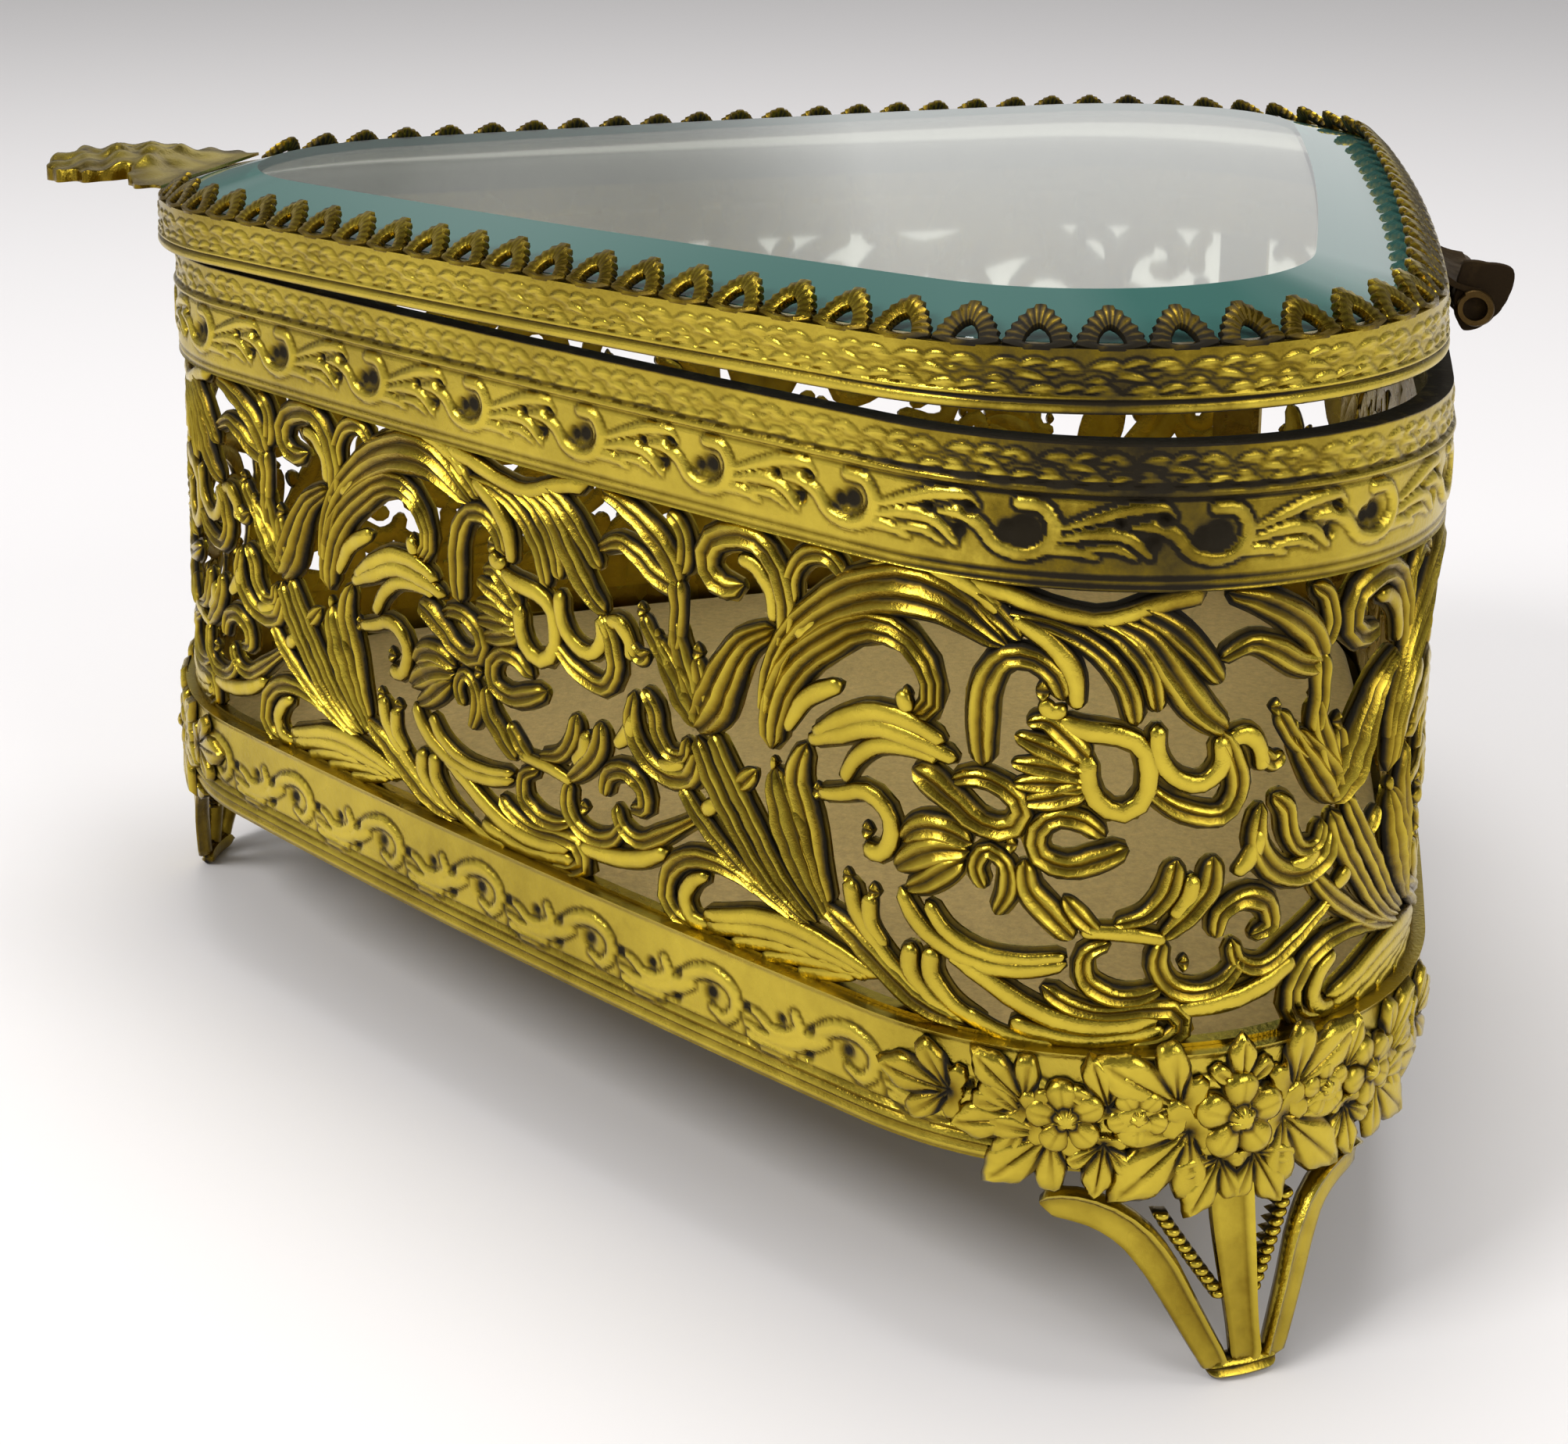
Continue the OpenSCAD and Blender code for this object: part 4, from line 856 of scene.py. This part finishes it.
def base():
    """Base band: a ledge inside that carries the floor, ridges by a cosine of the height, and the scroll."""
    face = face_rows(BASE, OPENWORK, 44, FACE + 0.2)
    rows = face + [(-FACE, OPENWORK), (-FACE, BASE + LEDGE_T), (-FACE - BASE_LEDGE, BASE + LEDGE_T),
                   (-FACE - BASE_LEDGE, BASE)]
    relief, bright = one_motif(rows, BASE_AT, 48, BASE_SCROLL, BASE_PITS, gain=0.5, depth=0.3)
    up = np.array(rows)[:, 1]
    ridged = up < BASE + RIDGED_H
    ridges = np.where(ridged, 0.5 + 0.5 * np.cos((up - BASE - 0.5) * 2 * pi / RIDGE_STEP), 0.0)
    margin = np.clip((up - OPENWORK + 0.45) / 0.3, 0, 1)
    relief = relief + 0.25 * ridges - 0.1 * ridged + 0.25 * margin
    # Painted shade in the grooves between the ridges, which stay bright.
    bright = bright * np.where(ridged, 0.45 + 0.55 * ridges, 1.0)
    relief[:, len(face):] = 0
    bright[:, len(face):] = 0.5
    moulded_band("base_strip", rows, relief, bright, BASE_AT, round_wall, WALL_BAND, "base_band")


def rim():
    """Rim strip: a half round bead below, engraved leaves above, and the flat ledge inside."""
    face = face_rows(RIM, TOP, 22, FACE - 0.05)
    rows = face + [(-FACE - RIM_LEDGE, TOP), (-FACE - RIM_LEDGE, TOP - LEDGE_T), (-FACE, TOP - LEDGE_T),
                   (-FACE, RIM)]
    local = [(out, z - RIM) for out, z in rows]
    leaves = fine_leaves(0.75, 0.75)
    relief, bright = one_motif(local, 0.0, 64, leaves, [], gain=0.5, ground=0.75, halo=0.4, shadow=0.5)
    up = np.array(local)[:, 1]
    relief = relief + 0.36 * dome(up - BEAD_R, BEAD_R)
    # A painted line of shade just above the bead.
    bright = bright * np.where(np.abs(up - 0.75) < 0.12, 0.3, 1.0)
    relief[:, len(face):] = 0
    # The top edge and the ledge inside are painted nearly black, as the shadow under the lid.
    bright[:, len(face) - 1:] = 0.02
    moulded_band("rim_strip", rows, relief, bright, 0.0, round_wall, WALL_BAND, "rim_band")


def lid_strip():
    """Lid band: a half round bead and wire at its foot, engraved leaves, and a ledge below the glass."""
    bead_h = 1.35
    face = face_rows(0, BAND_H, 40, LID_OVER)
    ledge = LID_OVER - LID_LEDGE
    rows = face + [(LID_IN, BAND_H), (LID_IN, LEDGE_T), (ledge, LEDGE_T), (ledge, 0)]
    leaves = fine_leaves(bead_h, 0.84)
    relief, bright = one_motif(rows, 0.0, 64, leaves, [], gain=0.5, ground=0.75, halo=0.4, shadow=0.45)
    up = np.array(rows)[:, 1]
    roll = dome(up - 0.4, 0.4)
    wire = dome(up - 1.15, 0.2)
    relief = relief * (up > bead_h) + 0.22 * roll + 0.2 * wire
    # Painted highlights on the bead and the wire, painted shade in the dips round them.
    bright = np.where(up < bead_h, 0.12 + 0.85 * np.maximum(roll, wire), bright)
    relief[:, len(face):] = 0
    bright[:, len(face):] = 0.2
    moulded_band("lid_strip", rows, relief, bright, 4.0, lid_wall, LID_BAND, "lid_band")


# Crown of teeth, glass and lining
TOOTH_PITCH = 4.8
TOOTH_SKIP = 12.0
TOOTH_H = 3.5
TOOTH_LEAN = radians(48)
TOOTH_SIDE = [(2.36, 0), (2.42, 0.3), (2.18, 0.6), (2.28, 0.95), (1.86, 1.2), (1.94, 1.6), (1.5, 1.85),
              (1.54, 2.25), (1.06, 2.5), (1, 2.95), (0.5, 3.1), (0.38, 3.45), (0, 3.5)]
TOOTH_HOLE = [(0.85, 0.15), (0.72, 0.75), (0.36, 1.3), (0, 1.5)]
GLASS_LOW = 2.6
BEVEL = 8.0


def crown():
    """Pierced teeth that lean in over the glass, on a plain strip, with none within TOOTH_SKIP of the front.

    Each is a ring whose section blends from the outline TOOTH_SIDE, with its shoulders and point, to an arch
    round the hole; its face swells as the sine of the section's angle.
    """
    count = round(GIRTH / TOOTH_PITCH)
    middles = np.arange(count) * GIRTH / count
    middles = middles[np.minimum(middles, GIRTH - middles) > TOOTH_SKIP]
    side = np.array(TOOTH_SIDE)
    spread = np.linspace(0, 1, len(side))
    hole_side = np.stack([np.interp(spread, np.linspace(0, 1, 4), part) for part in zip(*TOOTH_HOLE)], -1)
    arch = np.concatenate([side, (side * [-1, 1])[::-1][1:], [[-0.8, -0.5], [0.8, -0.5]]])
    hole = np.concatenate([hole_side, (hole_side * [-1, 1])[::-1][1:], [[-0.4, 0.05], [0.4, 0.05]]])
    section = np.linspace(0, 2 * pi, 8, endpoint=False)
    blend = (0.5 + 0.5 * np.clip(1.15 * np.cos(section), -1, 1))[None, :, None]
    flat = arch[:, None] * blend + hole[:, None] * (1 - blend)
    lift = 0.55 * np.sin(section)[None, :] * np.interp(flat[..., 1], [0, 2, 3.4], [0.8, 1.0, 0.7])
    inward = flat[..., 1] * np.sin(TOOTH_LEAN) - lift * np.cos(TOOTH_LEAN)
    upward = flat[..., 1] * np.cos(TOOTH_LEAN) + lift * np.sin(TOOTH_LEAN)
    along = middles[:, None, None] + flat[None, ..., 0]
    points = lid_wall(along, BAND_H + upward[None], LID_OVER - 0.5 - inward[None])
    # Painted light: the lifted face and the point are painted brighter, alternate beads lighter and darker.
    lobe = 0.14 * (-1) ** np.arange(len(arch))[:, None]
    tip = np.clip(arch[:, 1:2] / TOOTH_H, 0, 1)
    bright = np.broadcast_to(np.clip(0.16 + 0.2 * tip + 0.3 * np.sin(section) - lobe, 0, 1), points.shape[:3])
    faces = many(grid_faces(len(arch), 8), len(middles), len(arch) * 8)
    add_piece("crown_teeth", points, [faces], LID_GILT, "gallery_crown", bright)
    square_ring("crown_strip", lid_wall, GLASS_LOW, BAND_H + 0.15, LID_IN - 0.02, LID_IN - STRIP, LID_GILT,
                "gallery_crown", 0.7)


def glass_plate():
    """Bevelled plate: an upright edge, a wide bevel and a flat middle, each straight between its rings."""
    edge = LID_IN - STRIP - 0.32
    levels = [(edge - 0.15, GLASS_LOW), (edge, 2.75), (edge, 4.35), (edge - 0.12, 4.52), (edge - BEVEL, 6.58),
              (edge - BEVEL - 0.04, 6.58)]
    closed_stack("glass_plate", levels, lid_wall, GLASS, "lid_glass", [1, 0, 0, 0, 0, 1], sharp=12)


def lining():
    """Velvet pad: a flat base, sides that round over in a quarter ellipse, and a top that crowns a little."""
    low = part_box("lining_pad")[0].z / MM
    edge = WALL_IN - 0.3
    levels = [(edge, low), (edge, low + 1.1)]
    for a in np.linspace(0.3, pi / 2, 5):
        levels.append((edge - 1.2 + 1.2 * np.cos(a), low + 1.1 + 0.8 * np.sin(a)))
    levels += [(edge - 10, low + 2.05), (edge - 22, low + 2.2)]
    pad = closed_stack("velvet_lining", levels, round_wall, PILE, "lining_pad", [1] * len(levels), sharp=60)


# Corner mounts, as (along, up, length, angle) and (along, up, radius, rise, turn) from a corner's middle
MOUNT_LEAVES = [(-20, 20.9, 5.6, 172), (-14.6, 19.9, 5.6, 193), (-13, 18.9, 6.2, 224),
                (-14.8, 21, 5.2, 136), (-4.4, 21.3, 6.8, 148), (-3.6, 19.2, 7.4, 224), (-1.3, 17, 4.9, 242),
                (-9.2, 21.2, 4.2, 108), (-9.4, 18.4, 4.2, 262)]
MOUNT_FLOWERS = [(-12, 20.3, 2.9, 0.9, 0.5), (-7.2, 20.6, 2.3, 0.8, 0.9)]


def mounts():
    """A mount over each corner: veined leaves and flowers, the same on both sides of the corner's middle."""
    for k, corner in enumerate(CORNERS):
        middle = k * THIRD
        items = [leaf(middle + 0.2, 22.0, 4.2, 92, 0.7)]
        for side in (1, -1):
            items += [leaf(middle + side * s, z, length, angle if side == 1 else 180 - angle)
                      for s, z, length, angle in MOUNT_LEAVES]
            items += [flower(middle + side * s, z, r, side * turn, rise)
                      for s, z, r, rise, turn in MOUNT_FLOWERS]
        items.append(flower(middle, 20.1, 3.5, 0.31, 1.15))
        pads("flower_mount_" + corner, items, "corner_mount_" + corner, FACE + PROUD - 0.1)


# Feet, as (along, up, width, out) from a corner's middle
FOOT_ARM = [(13.6, 12.7, 1.8, -0.2), (11.9, 13.1, 2.5, 0), (9.6, 12.8, 2.7, 0.2), (7.4, 11.6, 2.7, 0.5),
            (5.7, 9.4, 2.6, 0.9), (4.4, 6.6, 2.3, 1.3), (3.2, 3.8, 2.1, 1.6), (2.3, 1.6, 1.9, 1.8),
            (2.1, 0.9, 1.8, 1.8)]
FOOT_RIB = [(0, 16, 3.3, 0.2), (0, 13, 3.3, 0.6), (0, 10, 3, 1), (0, 7, 2.6, 1.3), (0, 4, 2.3, 1.6),
            (0, 1.8, 2.3, 1.8), (0, 1, 2.3, 1.8)]
FOOT_TOE = [(-2.7, 0.8, 1.6, 1.5), (-1.3, 0.9, 1.8, 1.6), (0, 0.9, 1.8, 1.65), (1.3, 0.9, 1.8, 1.6),
            (2.7, 0.8, 1.6, 1.5)]
FOOT_LEAN = {"front": 0.0, "right": 1.1, "left": 0.0}
LEAN_FROM = 12
WIRE_TURNS = 11
WIRE_TOP = (5.0, 12.4)
WIRE_END = (1.4, 6.4)


def feet():
    """Feet: two curved arms with raised inner edges, a middle rib, twisted wires between them, and a toe.

    A wire is a row of short slanting strokes, evenly spaced on the straight from WIRE_TOP to WIRE_END. The
    right foot was set on with its toe FOOT_LEAN to one side.
    """
    arms = [FOOT_ARM, FOOT_RIB[::-1], [(-p[0], *p[1:]) for p in FOOT_ARM[::-1]]]
    others = [FOOT_TOE]
    for side in (-1, 1):
        for i in range(WIRE_TURNS):
            f = i / (WIRE_TURNS - 1)
            t, z = (top * (1 - f) + end * f for top, end in zip(WIRE_TOP, WIRE_END))
            others.append([(side * (t + move), z + move / 12, wide, out + 0.8 * f)
                           for move, wide, out in ((-0.6, 0.5, 0.2), (0, 0.62, 0.35), (0.6, 0.5, 0.2))])
    for k, corner in enumerate(CORNERS):
        middle, lean = k * THIRD, FOOT_LEAN[corner]
        for name, paths, section in (("foot_arms_", arms, band_section()), ("foot_toe_", others, None)):
            placed = [[(p[0] + middle + lean * max(0.0, 1 - p[1] / LEAN_FROM), *p[1:]) for p in path]
                      for path in paths]
            strokes(name + corner, placed, "foot_" + corner, mid=-0.4, thick=0.9, swell=0.25, section=section)


# Pull tab: its half width at each reach from the lid's front
TAB_REACH = 14.4
TAB_Z = CROWN_TOP + 0.02
TAB_EYE = 8.4
TAB_EDGE = [(-2.2, 11.4), (0.6, 12), (2.2, 9.6), (3.6, 6.2), (4.8, 7.2), (6.6, 9.3), (8.4, 8.6), (10, 9.4),
            (11.6, 8.2), (12.9, 5.8), (13.9, 3.2), (TAB_REACH, 0.6)]


def pull_tab():
    """Cast tab: TAB_EDGE gives its half width, its top swells to the middle, |cos| of an angle veins it."""
    reach, width = np.array(TAB_EDGE).T
    u = np.linspace(reach[0], reach[-1], 84)
    half = np.interp(u, reach, width)
    half = np.convolve(np.pad(half, 2, "edge"), np.ones(5) / 5, "valid") * (1 + 0.03 * np.cos(u * 2.6))
    u = u[:, None]
    v = np.sin(np.linspace(-pi / 2, pi / 2, 45))[None, :]
    x = half[:, None] * v
    y = -FRONT_Y - u + 0 * x
    far = np.hypot(x, u - TAB_EYE)
    turn = np.arctan2(x, TAB_EYE - u)
    ribs = 0.4 * np.abs(np.cos(3.5 * turn)) * bell(far - 4.6, 3.0)
    eye = 0.7 * bell(far, 1.6)
    leaf_ribs = 0.4 * np.abs(np.cos(turn * 5)) * np.clip((4.2 - u) / 4, 0, 1)
    swell = 1.5 * dome(v, 1) * (0.55 + 0.45 * bell(u - 4.5, 4))
    lumps = 0.35 * np.sin(u * 1.7 + 0.4) * np.cos(x * 0.9)
    root = np.clip((u + 1.0) / 4.0, 0.0, 1) ** 1.5
    top = 1.0 + swell * 0.6 + ribs + eye + leaf_ribs + lumps
    top = 0.3 + (top - 0.3) * np.clip((TAB_REACH + 0.6 - u) / 1.6, 0.45, 1) * root
    # Painted highlights on the ribs, the veins, the eye and the swell.
    bright = np.clip(0.45 + 1.1 * (ribs + leaf_ribs + 0.3 * eye) + 0.12 * swell, 0, 1)
    upper, lower = (on_lid(np.stack([x, y + SHIFT_Y, TAB_Z + z], -1)) for z in (top, 0 * top))
    points = np.concatenate([upper, lower[:, ::-1]], 1)
    shade = np.concatenate([bright, 0 * bright + 0.5], 1)
    add_piece("thumb_tab", points, capped(*shade.shape), LID_GILT, "pull_tab", shade)


# Hinge, as (across, up) from the pin's axis
PIN_R = 1.0
PIN_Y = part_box("hinge_pin")[0].y / MM + PIN_R
PIN_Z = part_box("hinge_pin")[0].z / MM + PIN_R
PIN_HALF = 8.0
HINGE_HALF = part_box("hinge_leaf_body")[1].x / MM
KNUCKLE_GAP = 3.2
KNUCKLE_R, BORE_R = 1.5, 1.03
SHEET_ROLL, SEAM_AT = 0.14, 2.2
STRAP_T = 0.5
STOP_FROM, STOP_TO = 7.9, 8.7
ARRIS = 0.1
STOP_EDGE = [(-1.1, 4), (0.9, 3.9), (2.55, 3.72), (2.95, 3.5), (3.1, 3), (3.04, 2.2), (2.75, 1.2),
             (2.3, 0.2), (1.6, -0.75), (0.8, -1.5), (0, -1.95), (-0.8, -2.05), (-1.3, -1.3), (-1.6, 0),
             (-1.55, 1.5), (-1.35, 3)]
STRAP_PATH = [(-3.35, 4.9), (-3.3, 4.1), (-3.05, 3.2), (-2.5, 2.45), (-1.6, 1.9), (-0.6, 1.6), (0.4, 1.45)]


def hinge_point(x, across, up):
    """Point at the hinge, from x and the offsets from the pin's axis."""
    x, across, up = np.broadcast_arrays(x, across, up)
    return np.stack([x, PIN_Y + across, PIN_Z + up], -1)


def plate(name, outline, low, high, shade):
    """Flat piece: an outline carried along x, with its arrises drawn in at both ends."""
    middle = outline.mean(0)
    shy = outline + 0.08 * (middle - outline) / np.linalg.norm(middle - outline, axis=1)[:, None]
    span = (low, low + ARRIS, high - ARRIS, high)
    rings = [hinge_point(x, *ring.T) for x, ring in zip(span, (shy, outline, outline, shy))]
    shape = (len(span), len(outline))
    add_piece(name, np.stack(rings), capped(*shape), LID_BRASS, "hinge_leaf_lid", np.full(shape, shade))


def hinge_strap():
    """Strap from the lid down to its knuckles: a path with a thickness, carried along x."""
    path = flowing([(*p, 1.0) for p in STRAP_PATH], 16)[0][:, :2]
    run = np.gradient(path, axis=0)
    run /= np.linalg.norm(run, axis=1)[:, None]
    side = np.stack([-run[:, 1], run[:, 0]], -1)
    outline = np.concatenate([path + STRAP_T / 2 * side, (path - STRAP_T / 2 * side)[::-1]])
    plate("hinge_strap", outline, -HINGE_HALF, HINGE_HALF, 0.12)


def hinge_stop():
    """Quarter round plate beside the knuckles: by angle, its edge goes evenly from point to point."""
    angle = np.linspace(0, 2 * pi, ROUND_STEPS, endpoint=False)
    edge = np.array(STOP_EDGE)
    turn = np.arctan2(edge[:, 1], edge[:, 0]) % (2 * pi)
    order = np.argsort(turn)
    far = np.interp(angle, turn[order], np.hypot(*edge.T)[order], period=2 * pi)
    # The stop is painted nearly black, as shade.
    plate("hinge_stop", np.stack([far * np.cos(angle), far * np.sin(angle)], -1), STOP_FROM, STOP_TO, 0.06)


def hinge_barrel():
    """Knuckles and pin. A knuckle is a rolled sheet: its radius grows with the angle up to the seam.

    The pin is a rod with a worn groove at each end.
    """
    angle = np.linspace(0, 2 * pi, ROUND_STEPS, endpoint=False)
    growth = SHEET_ROLL * ((angle - SEAM_AT) % (2 * pi)) / (2 * pi)
    knuckles = []
    for x0, x1 in ((-HINGE_HALF, -KNUCKLE_GAP), (KNUCKLE_GAP, HINGE_HALF + 0.3)):
        half = [(x0, BORE_R), (x0, 1.4), (x0 + 0.12, KNUCKLE_R)]
        section = np.array(half + [(x1 - 0.12, KNUCKLE_R), (x1, 1.4), (x1, BORE_R)])
        r = section[:, 1] + (section[:, 1] > BORE_R) * growth[:, None]
        knuckles.append(hinge_point(section[:, 0], r * np.cos(angle)[:, None], r * np.sin(angle)[:, None]))
    knuckles = np.stack(knuckles)
    shape = knuckles.shape[:3]
    faces = many(grid_faces(*shape[1:]), len(knuckles), shape[1] * shape[2])
    add_piece("hinge_knuckles", knuckles, [faces], LID_BRASS, "hinge_leaf_lid", np.full(shape, 0.4))
    end = np.array([(0.0, 0.02), (0.0, 0.7), (0.15, 0.95), (0.5, 1.0), (0.8, 0.9), (1.1, 1.0)])
    profile = np.concatenate([end + [-PIN_HALF, 0], (end * [-1, 1] + [PIN_HALF, 0])[::-1]])
    x, r = profile[:, :1], profile[:, 1:]
    rod = hinge_point(x, r * np.cos(angle), r * np.sin(angle))
    shape = rod.shape[:2]
    # The pin is at the lowest level: painted shade in the knuckles' bore, with the pin's dark patina.
    add_piece("hinge_rod", rod, capped(*shape), WALL_BRASS, "hinge_pin", np.zeros(shape))


def plain_metal():
    """Brass of the model's own pieces."""
    for brass, nodes in ((WORN_BRASS, ("floor_plate", "floor_lugs", "filigree_joint")),
                         # The hinge leaf and the glass seat take the very dark brass, as painted shade under
                         # the lid.
                         (SHADED_BRASS, ("hinge_leaf_body", "glass_seat"))):
        for node in nodes:
            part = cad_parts[node]
            part.data.materials.clear()
            part.data.materials.append(brass)


# Table, light and camera
WHITE = 0.92
LAMPS = (("key_lamp", (0.5, -0.45, 0.7), 0.3, 4.4), ("fill_lamp", (0.45, 0.6, 0.45), 0.4, 2.0),
         ("top_lamp", (-0.1, 0.0, 1.0), 0.5, 5.5))
STATION = (215.845 * MM, (31.338 + SHIFT_Y) * MM, 109.372 * MM)
HEADING, PITCH, ROLL = radians(193.7035), radians(10.295), 0.00255


def set_up(name, data, spot, direction, roll=0.0):
    """Put a lamp or a camera at a spot: it looks along a direction, its own up axis upward, then rolled."""
    forward = np.array(direction, float) / np.linalg.norm(direction)
    right = np.cross(forward, [0, 0, 1])
    right /= np.linalg.norm(right)
    up = np.cross(right, forward)
    turned_right = right * np.cos(roll) + up * np.sin(roll)
    turned_up = -right * np.sin(roll) + up * np.cos(roll)
    holder = bpy.data.objects.new(name, data)
    holder.location = spot
    holder.rotation_euler = Matrix(np.stack([turned_right, turned_up, -forward], 1)).to_euler()
    bpy.context.scene.collection.objects.link(holder)
    return holder


def stage():
    """Pale table and three soft lamps."""
    mesh = bpy.data.meshes.new("table")
    mesh.from_pydata([(-4, -4, 0), (4, -4, 0), (4, 4, 0), (-4, 4, 0)], [], [(0, 1, 2, 3)])
    table = bpy.data.objects.new("table", mesh)
    bpy.context.scene.collection.objects.link(table)
    material, _, shader = new_material("pale_table")
    feed(shader, {"Base Color": (0.72, 0.7, 0.7, 1), "Roughness": 0.9})
    mesh.materials.append(material)
    for name, spot, size, power in LAMPS:
        lamp = bpy.data.lights.new(name, "AREA")
        lamp.size = size
        lamp.energy = power
        set_up(name, lamp, spot, -np.array(spot) + [0, 0, 0.04])


def surround():
    """White behind the object and its glass; metal mirrors a pale horizon, a dim ceiling and soft patches."""
    world = bpy.data.worlds.new("surround")
    bpy.context.scene.world = world
    world.use_nodes = True
    tree = world.node_tree
    direction = coordinates(tree, "Generated")
    parts = feed(tree.nodes.new("ShaderNodeSeparateXYZ"), {"Vector": direction})
    height = ramp(tree, parts.outputs["Z"], (0.0, 0.9), (0.3, 0.9), (0.6, 0.4), (1.0, 0.3))
    patches = ramp(tree, noise(tree, direction, 2.8, 1.0, 0.5), (0.42, 0.18), (0.58, 1.0))
    rays = tree.nodes.new("ShaderNodeLightPath").outputs
    mirrored = calc(tree, "MULTIPLY", height, patches)
    level = 0.55
    for kind, strength in (("Is Camera Ray", WHITE), ("Is Glossy Ray", mirrored),
                           ("Is Transmission Ray", WHITE)):
        mixed = tree.nodes.new("ShaderNodeMix")
        level = feed(mixed, {0: rays[kind], 2: level, 3: strength}).outputs[0]
    feed(tree.nodes["Background"], {"Strength": level, "Color": (1, 1, 1, 1)})


def camera():
    """Camera at the photograph's station, with its picture plane shifted as the photograph was cropped."""
    lens = bpy.data.cameras.new("camera")
    lens.sensor_width = 36.0
    lens.lens = 53.594
    lens.shift_x = 0.0766
    lens.shift_y = -0.3073
    lens.clip_start = 0.01
    forward = (np.cos(HEADING) * np.cos(PITCH), np.sin(HEADING) * np.cos(PITCH), -np.sin(PITCH))
    bpy.context.scene.camera = set_up("camera", lens, STATION, forward, ROLL)


for make in (openwork, openwork_selvedges, frieze, base, rim, lid_strip, crown, glass_plate, lining, mounts,
             feet, pull_tab, hinge_strap, hinge_stop, hinge_barrel, plain_metal, stage, surround, camera):
    make()
bpy.context.scene.view_settings.view_transform = "Standard"
